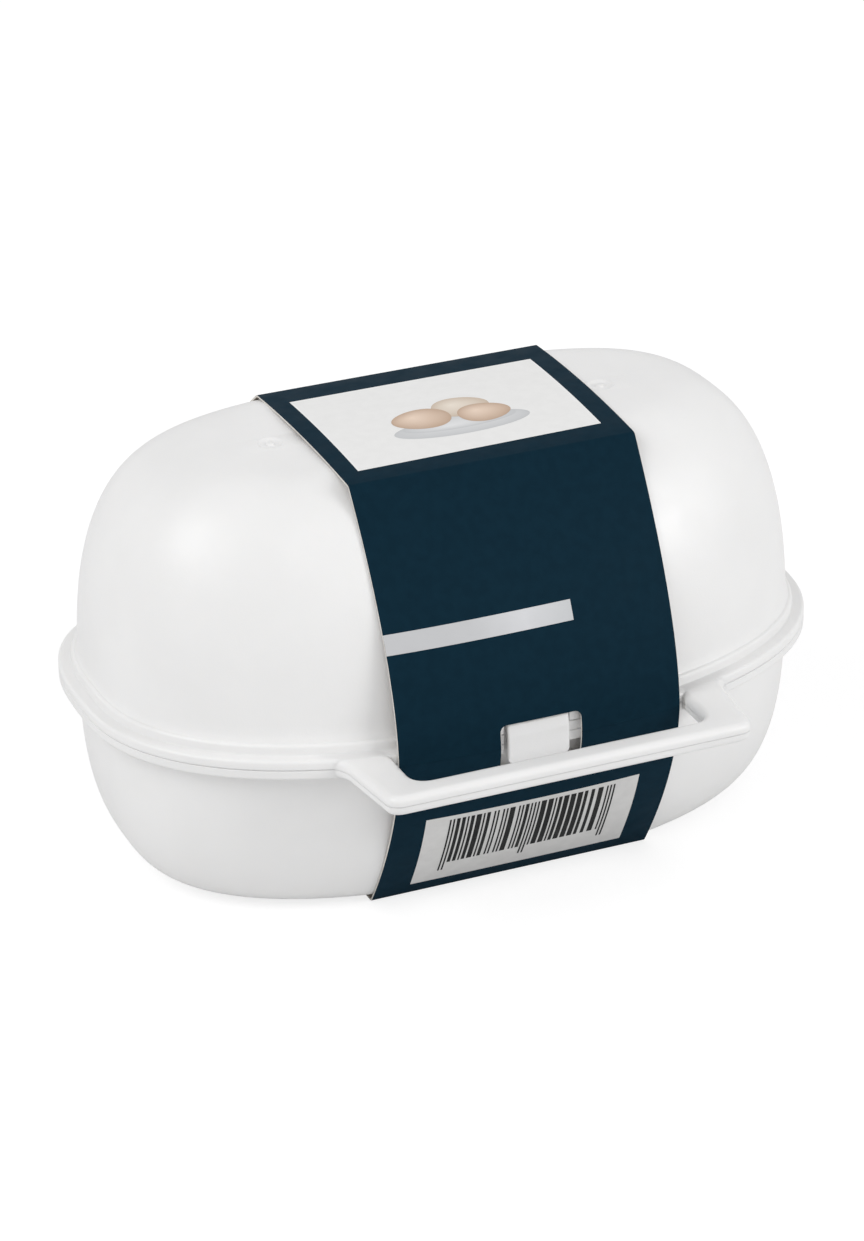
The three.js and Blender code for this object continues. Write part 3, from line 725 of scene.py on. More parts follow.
# %% Lid fittings
HINGE_AT, HINGE_Y, ARM_ROOT = 40, RIM_DEPTH + 3.9, 45.5
BARREL_HALF, EAR_GAP, EAR_WIDTH = 2.2, 0.3, 2.5
ARM_TOP, BARREL_RADIUS, PIN_RADIUS, PIN_HOLE, EAR_RADIUS = FLANGE_TOP - 0.12, 3.0, 1.5, 1.8, 3.3
LATCH_HALF, BLOCK_EDGE = 7.05, 0.3
for x in (-HINGE_AT, HINGE_AT):
    low, high = (x - BARREL_HALF, ARM_ROOT, HALF_GAP), (x + BARREL_HALF, HINGE_Y, ARM_TOP)
    rounded_block(lid, low, high, BLOCK_EDGE)
    rod_along_x(lid, x - BARREL_HALF, x + BARREL_HALF, BARREL_RADIUS, HINGE_Y, 0)
    pin_half = BARREL_HALF + EAR_GAP + EAR_WIDTH
    rod_along_x(lid, x - pin_half, x + pin_half, PIN_RADIUS, HINGE_Y, 0, edge=0.2)
lid_moulding = lid.piece("lid_moulding", [shell_plastic])
cut_notch(lid_moulding, tab_back=-49.65, low=-2, high=3.4)
settle(lid_moulding, "lid", "lid_shell")
boss = Builder()
rounded_block(boss, (-LATCH_HALF, -49.8, 0.2), (LATCH_HALF, -DEPTH + 0.75, 6.2), BLOCK_EDGE)
for left in (-10.4, 7.5):
    rounded_block(boss, (left, -50.9, 2.4), (left + 2.9, -49.0, 6.0), 0.25)
boss.piece("latch_boss", [shell_plastic], "lid", "white_plastic")
print("faces of the lid:", len(lid_moulding.data.polygons))

# %% [markdown]
# ## The base
#
# The base is the bowl below: a foot ring round a panel that is set up a little, a curved wall,
# the lower flange, and a thin lip that stands up inside the lid and locates it. It is lofted
# like the lid. The ears of the hinge have a hole for the pin, and upright ribs carry the insert.

# %% Base shell
FOOT = (LENGTH - 17.0, DEPTH - 15.0, DEPTH - 18.7)
base = Builder()
under = []
for inward, up in ((7.0, 0.8), (6.7, 0.7), (6.2, 0.12), (6.0, 0.0)):
    under.append((*(half - inward for half in FOOT), -BASE_DROP + up))
rim_steps = [rim_level(0.2, -FLANGE_TOP - 0.2), rim_level(0.7, -FLANGE_TOP)]
rim_steps += corner_arc(FLANGE - FLANGE_ROUND, -FLANGE_TOP + FLANGE_ROUND, FLANGE_ROUND, -90, 0)
rim_steps += [rim_level(FLANGE, -FACE_GAP - FACE_EDGE), rim_level(FLANGE - FACE_EDGE, -FACE_GAP)]
# The lip, from its foot outside over its rounded top to its foot inside
LIP = ((-1.85, 2.0), (-1.97, 2.3), (-2.25, 2.4), (-2.53, 2.3), (-2.65, 2.0), (-2.65, -FLANGE_TOP))
rim_steps += [rim_level(offset, z) for offset, z in ((-1.85, -FACE_GAP),) + LIP]
bowl = curved_wall(base_level, FLANGE_TOP + 0.7, BASE_DROP, 0, 44)[::-1]
hollow = curved_wall(base_level, FLANGE_TOP + 2.2, BASE_DROP - WALL, WALL, 36)
first, last = base.loft([(under, None), (bowl, 0), (rim_steps, None), (hollow, WALL)])
base.cap([first], up=False)
base.cap([last], up=True)
handle_half(base, -1)
print("faces of the base shell:", len(base.faces))

# %% Base fittings
RIB_TOP, RIB_REACH, RIB_HALF, RIB_SKIN = 5.3, 6.5, 0.8, 0.8


def hinge_ears(build, x):
    for side in (-1, 1):
        middle = x + side * (BARREL_HALF + EAR_GAP + EAR_WIDTH / 2)
        low, high = middle - EAR_WIDTH / 2, middle + EAR_WIDTH / 2
        rounded_block(build, (low, ARM_ROOT, -3.0), (high, HINGE_Y - 2.4, -HALF_GAP), BLOCK_EDGE)
        rod_along_x(build, low, high, EAR_RADIUS, HINGE_Y, 0, hole=PIN_HOLE)


def rib(build, x, side):
    """An upright rib along Y whose foot and back lie in the wall."""
    power = FRONT_POWER if side < 0 else BACK_POWER
    outer = reach(LENGTH, DEPTH, power, x)
    line = [(outer - RIB_REACH, -RIB_TOP), (outer - 0.9, -RIB_TOP)]
    for i in range(1, 13):
        drop = RIB_TOP + (BASE_DROP - 1.0 - RIB_TOP) * i / 12
        level = base_level(drop, RIB_SKIN)
        wall_at = reach(level[0], level[1 if side < 0 else 2], power, abs(x) + RIB_HALF)
        wall_at = abs(under_band(x, side * wall_at, -drop, RIB_SKIN)[1])
        line.append((max(wall_at, outer - RIB_REACH), -drop))
        if wall_at <= outer - RIB_REACH:
            break
    near, far = ([build.point(x + dx, side * y, z) for y, z in line] for dx in (-RIB_HALF, RIB_HALF))
    build.strip(near, far)
    build.face(near)
    build.face(far[::-1])


for side in (-1, 1):
    hinge_ears(base, side * HINGE_AT)
    for x in (-57, 0, 57):
        rib(base, x, side)
base_moulding = base.piece("base_moulding", [shell_plastic])
cut_notch(base_moulding, tab_back=-48.95, low=-4, high=1.5)
settle(base_moulding, "base", "base_shell")
ridge = Builder()
rounded_block(ridge, (-5.45, -49.85, -1.9), (5.45, -48.2, -1.1), 0.2)
ridge.piece("catch_ridge", [shell_plastic], "base", "white_plastic")
print("faces of the base:", len(base_moulding.data.polygons))

# %% [markdown]
# ## The latch
#
# The latch is a small tab that hangs in the notch behind the sleeve's window. It leans out
# from its film to the rim's face and then hangs straight, so a finger can pull its lower edge.
# Its upper end is as thin as the film, so that it clears the window when it swings. It is built
# as rings of the same U, one behind the other; the rings at the front and back are a little
# smaller, which rounds the edges, and each point is pushed out by the lean at its height.

# %% Latch
LATCH_TOP, LATCH_LOW, LATCH_Y, LATCH_RADIUS = 5.6, -4.2, -50.75, 0.6
LEAN, LEAN_HEIGHT, LATCH_CORNER, LATCH_EDGE = 0.85, 3.6, 1.2, 0.3
FILM_LOW, FILM_SHARE = 4.7, 0.4
TAB_HEIGHTS = (5.6, 4.75, 4.5, 3.8, 2.9, 2.3, 1.9, 0.5, -1.0, -2.0, LATCH_LOW + LATCH_CORNER)
tab_side = [(-LATCH_HALF, z) for z in TAB_HEIGHTS]
tab_side += bend(tab_side[-1], (-LATCH_HALF, LATCH_LOW), (-LATCH_HALF + LATCH_CORNER, LATCH_LOW))
latch = Builder()
rings = []
for i in range(9):
    turn = math.radians(-90 + 180 * i / 8)
    drawn = LATCH_EDGE * (1 - math.cos(turn))
    flat = LATCH_RADIUS - LATCH_EDGE
    across = LATCH_EDGE * math.sin(turn) + (math.copysign(flat, turn) if abs(turn) > 0.01 else 0)
    ring = []
    for x, z in tab_side + [(-x, z) for x, z in reversed(tab_side)]:
        out = LEAN * min((LATCH_TOP - z) / LEAN_HEIGHT, 1.0)
        thin = FILM_SHARE if z > FILM_LOW and across < 0 else 1.0
        y = LATCH_Y - out + across * thin
        ring.append(latch.point(x - math.copysign(drawn, x), y, max(z, LATCH_LOW + drawn)))
    rings.append(ring)
latch.strips(rings, closed=False, turned=True)
rows = len(tab_side)
for ring, front in ((rings[0], True), (rings[-1], False)):
    for i in range(rows - 1):
        corners = (ring[i], ring[i + 1], ring[-i - 2], ring[-i - 1])
        latch.face(corners if front else corners[::-1])
rod_along_x(latch, -LATCH_HALF, LATCH_HALF, LATCH_RADIUS, LATCH_Y, LATCH_TOP, edge=0.25)
rounded_block(latch, (-5.85, -51.6, -3.3), (5.85, -50.2, -2.4), 0.2)
latch.piece("latch_tab", [shell_plastic], "latch", "white_plastic", "front_latch")
print("faces of the latch:", len(latch.faces))

# %% [markdown]
# ## The insert
#
# The insert is a plate with a low lip that lies on the ribs. Four cups hang from it, open at
# the bottom so that an egg of any size sits on the round edge, and a hole in the middle takes
# the finger that lifts it out. The cups cross the plate's lip, so a face with holes would fold
# over itself there: their holes are drilled with the cut above, and the cups are turned apart.

# %% Insert
PLATE_TOP, PLATE, TRAY_IN = -3.6, 1.4, 3.05
CUP_RADIUS, CUP_WALL, CUP_DEPTH, CUP_HOLE = 19.8, 1.1, 22, 4.5
CUPS = [(x, y) for x in (-27.5, 27.5) for y in (-21.9, 21.9)]
FINGER = 8
FINGER_RIM = ((0.4, 0), (0.12, 0.12), (0, 0.4), (0, PLATE))
LIP_SHAPE = (
    (0, 0.9), (0.08, 1.1), (0.3, 1.2), (0.9, 1.2), (1.12, 1.1), (1.2, 0.9), (1.25, 0.2), (1.45, 0),
)
tray = Builder()
low_ring = tray.ring(rim_level(-TRAY_IN, PLATE_TOP - PLATE))
lip_rings = [low_ring]
for inward, up in LIP_SHAPE:
    lip_rings.append(tray.ring(rim_level(-TRAY_IN - inward, PLATE_TOP + up)))
tray.strips(lip_rings)


def circle(build, cx, cy, radius, z, steps=72):
    turns = [2 * math.pi * i / steps for i in range(steps)]
    return [build.point(cx + radius * math.cos(turn), cy + radius * math.sin(turn), z) for turn in turns]


finger = [circle(tray, 0, 0, FINGER + out, PLATE_TOP - down) for out, down in FINGER_RIM]
tray.strips(finger, turned=True)
tray.cap([lip_rings[-1], finger[0]])
tray.cap([low_ring, finger[-1]], up=False)
plate = tray.piece("tray_plate", [insert_plastic], sharp=40)
drill = Builder()
drill_ends = (PLATE_TOP - PLATE - 1, PLATE_TOP + 3)
for x, y in CUPS:
    low, high = (circle(drill, x, y, CUP_RADIUS + CUP_WALL / 2, z) for z in drill_ends)
    drill.strip(low, high)
    drill.cap([low], up=False)
    drill.cap([high])
cut(plate, drill.piece("drill", (), sharp=None))
settle(plate, "tray", "egg_tray")
print("faces of the plate:", len(plate.data.polygons))

# %% Cups
end = math.acos(CUP_HOLE / CUP_RADIUS)
depth = CUP_DEPTH / math.sin(end)
# The cup's lip as radius and height over the plate, from the outside in
CUP_LIP = ((20.9, -PLATE), (20.9, 0.7), (20.75, 0.92), (20.35, 1.0), (19.98, 0.9), (19.82, 0.65))
cup = [(radius, PLATE_TOP + up) for radius, up in CUP_LIP]
turns = [i / 24 * end for i in range(25)]
cup += [(CUP_RADIUS * math.cos(turn), PLATE_TOP - depth * math.sin(turn)) for turn in turns]
cup.append((cup[-1][0] + 0.05, cup[-1][1] - 0.9))
around, below = CUP_RADIUS + CUP_WALL, depth + CUP_WALL
cup += [(around * math.cos(turn), PLATE_TOP - below * math.sin(turn)) for turn in reversed(turns)]
cups = Builder()
for x, y in CUPS:
    lathe(cups, cup[::-1], x, y, 72)
cups.piece("tray_cups", [insert_plastic], "tray", "tray_plastic")
print("faces of the cups:", len(cups.faces))

# %% [markdown]
# ## The sleeve
#
# The sleeve is one band of card round the closed box. It bows from the rim to its folds at the
# top and bottom panels, and the shells stay just inside it. Over the top it leans and widens by
# about a millimetre, as a band pushed on by hand does. Cloth simulation could drape it, but card
# bends in one direction only and keeps straight folds, so a surface from the band's section is
# closer. The card is a real sheet: printed face, bare inside, and a strip of cut all round.

# %% Sleeve surface
CARD_THICK, SLIT = 0.44, 0.003
LEFT, RIGHT = -31.69, 33.64
FRONT_FOLD, BACK_FOLD = FOLDS[1, -1][0], FOLDS[1, 1][0]
PANEL_MIDDLE, PANEL_HALF = (BACK_FOLD - FRONT_FOLD) / 2, (BACK_FOLD + FRONT_FOLD) / 2
ARCH = {1: 0.9, -1: 0.0}
LEAN_UP, LEAN_OVER, WIDER_UP, WIDER_OVER, LEAN_DOWN = 0.80, 0.50, 0.38, 0.445, 0.007


def shifted(x, y, z):
    """A point of the band, moved along X as the band leans and widens a little over the top."""
    if z < 0:
        return x - LEAN_DOWN * z
    share, over = z / FOLD_AT[1], (y + FRONT_FOLD) / (2 * PANEL_HALF)
    lean, wider = LEAN_UP + LEAN_OVER * over, WIDER_UP + WIDER_OVER * over
    return x + share * lean + share**2 * x / RIGHT * wider


def panel_height(y, half):
    """The inner face of the flat panel between the folds; the upper one arches over the lid."""
    return FOLD_AT[half] + ARCH[half] * (1 - ((y - PANEL_MIDDLE) / PANEL_HALF) ** 2)


def band_line(x, half):
    """The inner face's section at x, from the front slit to the back slit, as (y, z)."""
    end = FOLD_AT[half]
    turning = [end * math.sin(i / 72 * math.pi / 2) for i in range(1, 72)]
    heights = [SLIT, 0.8, 1.6, FLANGE_TOP] + [z for z in turning if FLANGE_TOP + 0.6 < z < end - 2]
    heights += [end - 1.7, end - 1.1, end - 0.7]
    sides = []
    for side in (-1, 1):
        line = [(side * band_reach(x, z, side, half), z) for z in heights]
        fold = FOLDS[half, side][0]
        line.append((side * band_reach(x, end - 0.35, side, half), end - 0.35))
        flat_from = side * (fold - 0.4)
        line += bend(line[-1], (side * fold, end), (flat_from, panel_height(flat_from, half)), 4)
        sides.append(line)
    front, back = sides
    y0, y1 = front[-1][0], back[-1][0]
    panel = [y0 + (y1 - y0) * k / 16 for k in range(1, 16)]
    flat = [(y, panel_height(y, half)) for y in panel]
    return [(y, half * z) for y, z in front + flat + back[::-1]]


def pushed_out(line, half, distance):
    out = []
    for i, (y, z) in enumerate(line):
        before, after = line[max(i - 1, 0)], line[min(i + 1, len(line) - 1)]
        along = Vector((after[0] - before[0], after[1] - before[1])).normalized()
        out.append((y - along.y * distance * half, z + along.x * distance * half))
    return out


print("points on the band's section:", len(band_line(0, 1)), len(band_line(0, -1)))

# %% [markdown]
# The window is a rounded rectangle pushed through the front of the band with the same Boolean
# cut as the notch. Its walls carry the material of the cut, and they keep it when they are cut
# into the card. The halves meet at the parting plane, where the CAD band is slit so that the
# lid can open; on the real closed sleeve there is no slit, so its faces there are printed too.

# %% Window and sleeve halves
WINDOW_AT, WINDOW_HALF, WINDOW_TOP, WINDOW_LOW, WINDOW_CORNER = 0.37, 9.38, 5.1, -7.0, 1.8
STATIONS = 40


def window_cutter():
    build = Builder()
    corner = WINDOW_CORNER
    line = []
    right, left = ((1, WINDOW_LOW, 1), (1, WINDOW_TOP, -1)), ((-1, WINDOW_TOP, -1), (-1, WINDOW_LOW, 1))
    for sx, z, sz in right + left:
        low, side = (sx * (WINDOW_HALF - corner), z), (sx * WINDOW_HALF, z + sz * corner)
        first, last = (low, side) if sx * sz > 0 else (side, low)
        line += [first] + bend(first, (sx * WINDOW_HALF, z), last)
    near, far = ([build.point(WINDOW_AT + x, y, z) for x, z in line] for y in (-60, -40))
    build.strip(far, near, CUT)
    build.face(near, CUT)
    build.face(far[::-1], CUT)
    return build.piece("window", CARD_SLOTS, sharp=None)


def sleeve_half(name, body, node, half):
    build = Builder()
    inner, outer = [], []
    for i in range(STATIONS + 1):
        x = LEFT + (RIGHT - LEFT) * i / STATIONS
        line = band_line(x, half)
        inner.append([build.point(shifted(x, y, z), y, z) for y, z in line])
        line = pushed_out(line, half, CARD_THICK)
        outer.append([build.point(shifted(x, y, z), y, z) for y, z in line])

    def sheet(a, b, slot, turned):
        for k in range(len(a) - 1):
            corners = (a[k], b[k], b[k + 1], a[k + 1])
            build.face(corners[::-1] if turned else corners, slot)

    for i in range(STATIONS):
        sheet(outer[i], outer[i + 1], PRINTED, half < 0)
        sheet(inner[i], inner[i + 1], BARE, half > 0)
    sheet(inner[0], outer[0], CUT, half < 0)
    sheet(inner[-1], outer[-1], CUT, half > 0)
    for k, turned in ((0, half > 0), (-1, half < 0)):
        sheet([row[k] for row in inner], [row[k] for row in outer], PRINTED, turned)
    card = build.piece(name, CARD_SLOTS)
    cut(card, window_cutter())
    card.data.set_sharp_from_angle(angle=math.radians(30))
    settle(card, body, node)
    return card


upper = sleeve_half("sleeve_card_upper", "lid", "sleeve_upper", 1)
lower = sleeve_half("sleeve_card_lower", "base", "sleeve_lower", -1)
print("faces of the sleeve:", len(upper.data.polygons), len(lower.data.polygons))

# %% [markdown]
# ## The print
#
# Ink has no thickness that anyone could see, so the printed patches could be painted into
# the card's material by masks. Thin patches that follow the face a few hundredths of a
# millimetre above it are simpler to lay out in millimetres, and they keep crisp borders. The
# narrow band across the front is a silver ink that runs from light to dark, and a brighter stop
# near its right end paints a highlight on it, so its colour comes from a ramp along X and it is
# a little metallic.

# %% Silver ink
silver, tree, bsdf = new_material("silver_print_and_highlight")
where = add_node(tree, "ShaderNodeTexCoord").outputs["Object"]
along = add_node(tree, "ShaderNodeSeparateXYZ", {0: where}).outputs["X"]
along = scaled(tree, along, low=-0.031, high=0.0105, out_low=0, out_high=1)
ramp = add_node(tree, "ShaderNodeValToRGB", {0: along})
ramp.color_ramp.elements[0].color = (0.50, 0.505, 0.515, 1)
ramp.color_ramp.elements[1].color = (0.43, 0.44, 0.45, 1)
ramp.color_ramp.elements.new(0.45).color = (0.47, 0.475, 0.485, 1)
# This brighter stop paints a highlight; the other stops are the printed gradient
ramp.color_ramp.elements.new(0.75).color = (0.53, 0.535, 0.55, 1)
tree.links.new(ramp.outputs["Color"], bsdf.inputs["Base Color"])
gloss = place_group(tree, uneven_gloss, Roughness=0.36, Spread=0.05, Scale=300.0)["Roughness"]
tree.links.new(gloss, bsdf.inputs["Roughness"])
relief = place_group(tree, fine_relief, Grain_Scale=3000.0, Swell_Scale=70.0, Fibre=0.6)
add_bumps(tree, bsdf, [(relief["Grain"], 0.06, 0.0001)])
set_inputs(bsdf, Metallic=0.25)
print("silver tones:", len(ramp.color_ramp.elements))

# %% Patches on the slopes
INK, INK_OVER = CARD_THICK + 0.03, CARD_THICK + 0.05


def on_slope(x, z, half, out):
    """A point over the front slope, at a height above or below the parting plane."""
    y = -band_reach(x, z, -1, half)
    step = 0.3
    along = Vector((-band_reach(x, z + step, -1, half) - y, step)).normalized()
    y, z = y - along.y * out, half * (z + along.x * out)
    return (shifted(x, y, z), y, z)


def slope_patch(build, left, right, near, far, half, out, slot, columns=24, rows=12, tilt=0.0):
    """A patch from a near to a far height, with two borders that are functions of the height."""
    grid = []
    for i in range(rows + 1):
        z = near + (far - near) * i / rows
        x0, x1 = left(z), right(z)
        places = [x0 + (x1 - x0) * k / columns for k in range(columns + 1)]
        grid.append([build.point(*on_slope(x, z + tilt * x, half, out)) for x in places])
    build.strips(grid, slot, closed=False, turned=half < 0)


SILVER_LEFT, SILVER_RIGHT, SILVER_LOW, SILVER_TOP, SILVER_TILT = LEFT + 0.02, 10.7, 22.95, 26.9, 0.006
upper_print = Builder()
borders = (lambda z: SILVER_LEFT, lambda z: SILVER_RIGHT)
slope_patch(upper_print, *borders, SILVER_LOW, SILVER_TOP, 1, INK, 0, 40, tilt=SILVER_TILT)
print("faces of the silver band:", len(upper_print.faces))

# %% [markdown]
# The top panel carries a pale picture with a white border. Its subject here is a plain still
# life: eggs on a round dish, in the soft beige, sand and mist tones of such a print. Each
# form is an oval of nested rings, and every ring gets a tint that grows towards the light, so
# one material per colour can blend from its shade to its light tone by reading that tint.

# %% Picture tones
def tint_material(name, dark, light):
    """A print whose colour follows the tint that is stored in the mesh."""
    material = card_material(name, dark, light, 0.42, 0.06)
    tree, bsdf = material.node_tree, material.node_tree.nodes["Principled BSDF"]
    tint = add_node(tree, "ShaderNodeAttribute", attribute_name="tint").outputs["Fac"]
    tree.links.new(mix_colour(tree, tint, dark, light), bsdf.inputs["Base Color"])
    return material


white_ink = card_material("white_print", (0.83, 0.83, 0.82), (0.81, 0.81, 0.80), 0.42, 0.06)
ground_ink = card_material("ground_print", (0.81, 0.808, 0.797), (0.79, 0.788, 0.777), 0.42, 0.06)
beige_ink = tint_material("beige_print", (0.44, 0.29, 0.19), (0.80, 0.63, 0.50))
sand_ink = tint_material("sand_print", (0.52, 0.41, 0.31), (0.80, 0.72, 0.62))
mist_ink = tint_material("mist_print", (0.50, 0.51, 0.52), (0.74, 0.745, 0.75))
PICTURE_SLOTS = [silver, white_ink, ground_ink, beige_ink, sand_ink, mist_ink]
WHITE, GROUND, BEIGE, SAND, MIST = range(1, 6)
print("inks of the picture:", [ink.name for ink in PICTURE_SLOTS])

# %% Picture on the top panel
CORNERS = ((-27.3, -19.5), (28.75, -18.5), (28.8, 19.9), (-27.2, 20.0))


def on_panel(x, y, out):
    z = panel_height(y, 1) + CARD_THICK + out
    return (shifted(x, y, z), y, z)


def flat_patch(build, corners, out, slot, steps=16):
    """A four-cornered patch on the arched panel, front left corner first."""
    rows = []
    for i in range(steps + 1):
        share = i / steps
        edges = ((corners[0], corners[3]), (corners[1], corners[2]))
        left, right = ([a + (b - a) * share for a, b in zip(*edge)] for edge in edges)
        row = [[a + (b - a) * k / steps for a, b in zip(left, right)] for k in range(steps + 1)]
        rows.append([build.point(*on_panel(x, y, out)) for x, y in row])
    build.strips(rows, slot, closed=False)


def shaded_oval(build, cx, cy, rx, ry, out, slot, tip=0.0, light=(-0.25, 0.3), bands=8, steps=48):
    """Nested rings round a light spot; tip makes one end narrower, as on an egg."""
    rings = []
    for k in range(bands + 1):
        share = k / bands
        ring = []
        for i in range(steps):
            turn = 2 * math.pi * i / steps
            x = rx * math.cos(turn)
            y = ry * math.sin(turn) * (1 - tip * math.cos(turn))
            x, y = (a * (1 - share) + b * share for a, b in ((x, light[0] * rx), (y, light[1] * ry)))
            ring.append(build.point(*on_panel(cx + x, cy + y, out), tint=0.08 + 0.92 * share**0.8))
        rings.append(ring)
    build.strips(rings, slot)


inner = [(x - math.copysign(0.5, x), y - math.copysign(0.5, y)) for x, y in CORNERS]
flat_patch(upper_print, CORNERS, 0.010, WHITE)
flat_patch(upper_print, inner, 0.014, GROUND)
shaded_oval(upper_print, 1.5, -7.2, 15.5, 4.6, 0.018, MIST, light=(0.1, 0.5))
shaded_oval(upper_print, 1.5, -5.6, 13.0, 3.4, 0.022, MIST, light=(-0.2, -0.4))
shaded_oval(upper_print, 4.6, 1.4, 6.4, 4.9, 0.026, SAND, tip=0.12)
shaded_oval(upper_print, -5.6, -1.4, 6.6, 5.0, 0.030, BEIGE, tip=-0.14)
shaded_oval(upper_print, 8.2, -3.2, 5.9, 4.5, 0.034, BEIGE, tip=0.14)
upper_print.piece("sleeve_print_upper", PICTURE_SLOTS, "lid", "printed_card", sharp=0)
print("faces of the upper print:", len(upper_print.faces))

# %% [markdown]
# The lower slope carries a grey panel with upright bars for a scanner. The bars here are a
# generic pattern from a seeded draw of narrow and wide ones, with the longer guard bars at the
# ends and in the middle, and the strip below them is left bare. Like the real print, the panel
# leans a little to the right towards its bottom.

# %% Bars on the lower slope
GREY, GREY_SHADE = (0.66, 0.655, 0.645), (0.62, 0.615, 0.605)
BLACK, BLACK_SHADE = (0.009, 0.009, 0.010), (0.013, 0.013, 0.013)
panel_ink = card_material("grey_print", GREY, GREY_SHADE, 0.42, 0.08, coat=0.2)
bar_ink = card_material("bar_print", BLACK, BLACK_SHADE, 0.50, 0.05, shine=0.15)
PANEL_TOP, PANEL_LOW = 15.8, 37.6
BARS_LEFT, BARS_RIGHT, BARS_TOP, BARS_LOW, GUARDS_LOW = -18.9, 20.0, 17.0, 31.7, 34.3
MODULES = 95


def leaning(x):
    """A border that is at x on top of the panel and leans to the right below."""
    return lambda z: x + 0.8 * (z - PANEL_TOP) / (PANEL_LOW - PANEL_TOP)


def bar_runs():
    """Starts and widths in modules: two thin guards, a block, two guards, a block, two guards."""
    runs = [(at, 1, True) for at in (0, 2, 46, 48, 92, 94)]
    for start, end in ((4, 45), (50, 91)):
        at = start
        while at < end:
            width = min(random.choice((1, 1, 2, 2, 3, 4)), end - at)
            runs.append((at, width, False))
            at += width + random.choice((1, 1, 1, 2))
    return runs


lower_print = Builder()
slope_patch(lower_print, leaning(-24.4), leaning(25.6), PANEL_TOP, PANEL_LOW, -1, INK, 0, 48, 60)
module = (BARS_RIGHT - BARS_LEFT) / MODULES
runs = bar_runs()
for start, width, guard in runs:
    left = BARS_LEFT + start * module
    edges = (leaning(left), leaning(left + width * module))
    low = GUARDS_LOW if guard else BARS_LOW
    slope_patch(lower_print, *edges, BARS_TOP, low, -1, INK_OVER, 1, 1, 60)
lower_print.piece("sleeve_print_lower", [panel_ink, bar_ink], "base", "printed_card", sharp=0)
print("bars:", len(runs))

# %% [markdown]
# ## The stage
#
# The photograph has a white ground with almost no shadow. The floor is a pale matt sheet that
# keeps a soft shadow. A Light Path node lets the camera see it brighter than the light does, so
# that the ground is white in the picture and no extra light falls on the object. The world does
# the same: white to the camera and in reflections, a plain soft grey as a lamp.

# %% Floor
mesh = bpy.data.meshes.new("floor")
SIZE, FLOOR_SEEN, FLOOR_GLOW = 3.0, (0.32, 0.32, 0.32), 0.76
corners = [(x * SIZE, y * SIZE, 0) for x, y in ((-1, -1), (1, -1), (1, 1), (-1, 1))]
mesh.from_pydata(corners, [], [(0, 1, 2, 3)])
floor = bpy.data.objects.new("floor", mesh)
bpy.context.scene.collection.objects.link(floor)
paper, tree, bsdf = new_material("floor_paper")
set_inputs(bsdf, Roughness=0.9, Specular_IOR_Level=0.0, Emission_Color=(1, 1, 1))
seen = add_node(tree, "ShaderNodeLightPath").outputs["Is Camera Ray"]
pale = {"Tone": (0.86, 0.86, 0.86), "Shade": (0.84, 0.84, 0.84), "Scale": 30.0}
tone = place_group(tree, drifting_tone, **pale)["Colour"]
tree.links.new(mix_colour(tree, seen, tone, FLOOR_SEEN), bsdf.inputs["Base Color"])
tree.links.new(scaled(tree, seen, 0, 1, 0, FLOOR_GLOW), bsdf.inputs["Emission Strength"])
mesh.materials.append(paper)
print("floor:", 2 * SIZE, "m wide")

# %% World
SKY_LIGHT = 0.585
world = bpy.data.worlds.new("studio")
bpy.context.scene.world = world
world.use_nodes = True
tree = world.node_tree
tree.nodes.clear()
rays = add_node(tree, "ShaderNodeLightPath").outputs
white = add_node(tree, "ShaderNodeBackground", {"Color": (1.0, 1.0, 1.0), "Strength": 1.0})
grey = add_node(tree, "ShaderNodeBackground", {"Color": (0.99, 0.99, 1.0), "Strength": SKY_LIGHT})
shown = maths(tree, "MAXIMUM", rays["Is Camera Ray"], rays["Is Glossy Ray"])
shown = maths(tree, "MAXIMUM", shown, rays["Is Transmission Ray"])
mixed = add_node(tree, "ShaderNodeMixShader", {0: shown, 1: grey.outputs[0], 2: white.outputs[0]})
add_node(tree, "ShaderNodeOutputWorld", {"Surface": mixed.outputs[0]})
print("light of the world:", SKY_LIGHT)

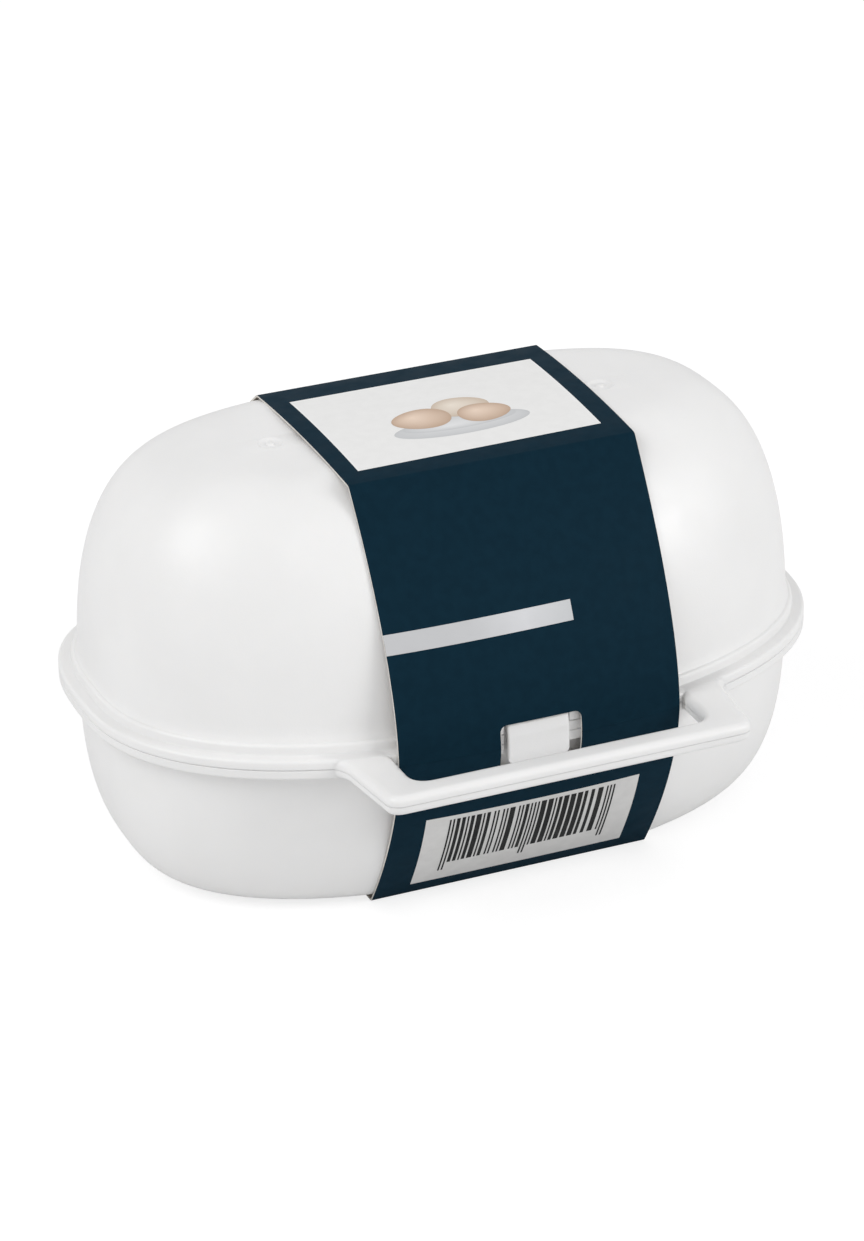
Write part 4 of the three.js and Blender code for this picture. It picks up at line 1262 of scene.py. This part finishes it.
# %% [markdown]
# Two large soft lamps do the work of a photographer's boxes: the key from the front right,
# which throws the sleeve's soft shadow on the shell to its left, and one high on the left that
# keeps the dome and that side nearly white. Area lamps are chosen because their size alone sets
# how soft the shadows are.

# %% Lamps
LAMPS_AIM = Vector((0, 0, 0.045))


def soft_lamp(name, where, side, power):
    data = bpy.data.lights.new(name, "AREA")
    data.shape, data.size, data.energy = "SQUARE", side, power
    made = bpy.data.objects.new(name, data)
    bpy.context.scene.collection.objects.link(made)
    made.location = where
    made.rotation_euler = (LAMPS_AIM - Vector(where)).to_track_quat("-Z", "Y").to_euler()


soft_lamp("front_right", (0.95, -0.85, 0.60), side=0.6, power=7.0)
soft_lamp("left_high", (-0.95, -0.20, 0.90), side=0.8, power=6.9)
print("lamps:", len(bpy.data.lights))

# %% [markdown]
# ## The camera
#
# The camera stands where the photograph's did. Its direction, distance and focal length in
# pixels were solved from the outlines of the box; the place of the box in the picture is set by
# moving the camera sideways, so the lens needs no shift.

# %% Camera
azimuth, elevation, roll = (math.radians(angle) for angle in (22.952, 26.193, -0.803))
distance, focal = 1.0095, 4575.51
picture_at, picture_middle, picture_height = (441.318, 640.393), (432, 620.5), 1241
flat = math.cos(elevation)
forward = Vector((math.sin(azimuth) * flat, math.cos(azimuth) * flat, -math.sin(elevation)))
level_right = Vector((math.cos(azimuth), -math.sin(azimuth), 0))
level_up = level_right.cross(forward)
right = level_right * math.cos(roll) + level_up * math.sin(roll)
up = level_up * math.cos(roll) - level_right * math.sin(roll)
across, above = ((a - b) / focal * distance for a, b in zip(picture_at, picture_middle))
eye = place(0, 0, 0) - forward * distance - right * across + up * above
camera_data = bpy.data.cameras.new("camera")
camera_data.sensor_width = 36
camera_data.lens = focal * camera_data.sensor_width / picture_height
camera_data.clip_start = 0.05
camera = bpy.data.objects.new("camera", camera_data)
bpy.context.scene.collection.objects.link(camera)
rows = [(right[k], up[k], -forward[k], eye[k]) for k in range(3)]
camera.matrix_world = Matrix(rows + [(0, 0, 0, 1)])
bpy.context.scene.camera = camera
bpy.context.scene.view_settings.view_transform = "Standard"
print("camera at:", tuple(round(v, 3) for v in eye))
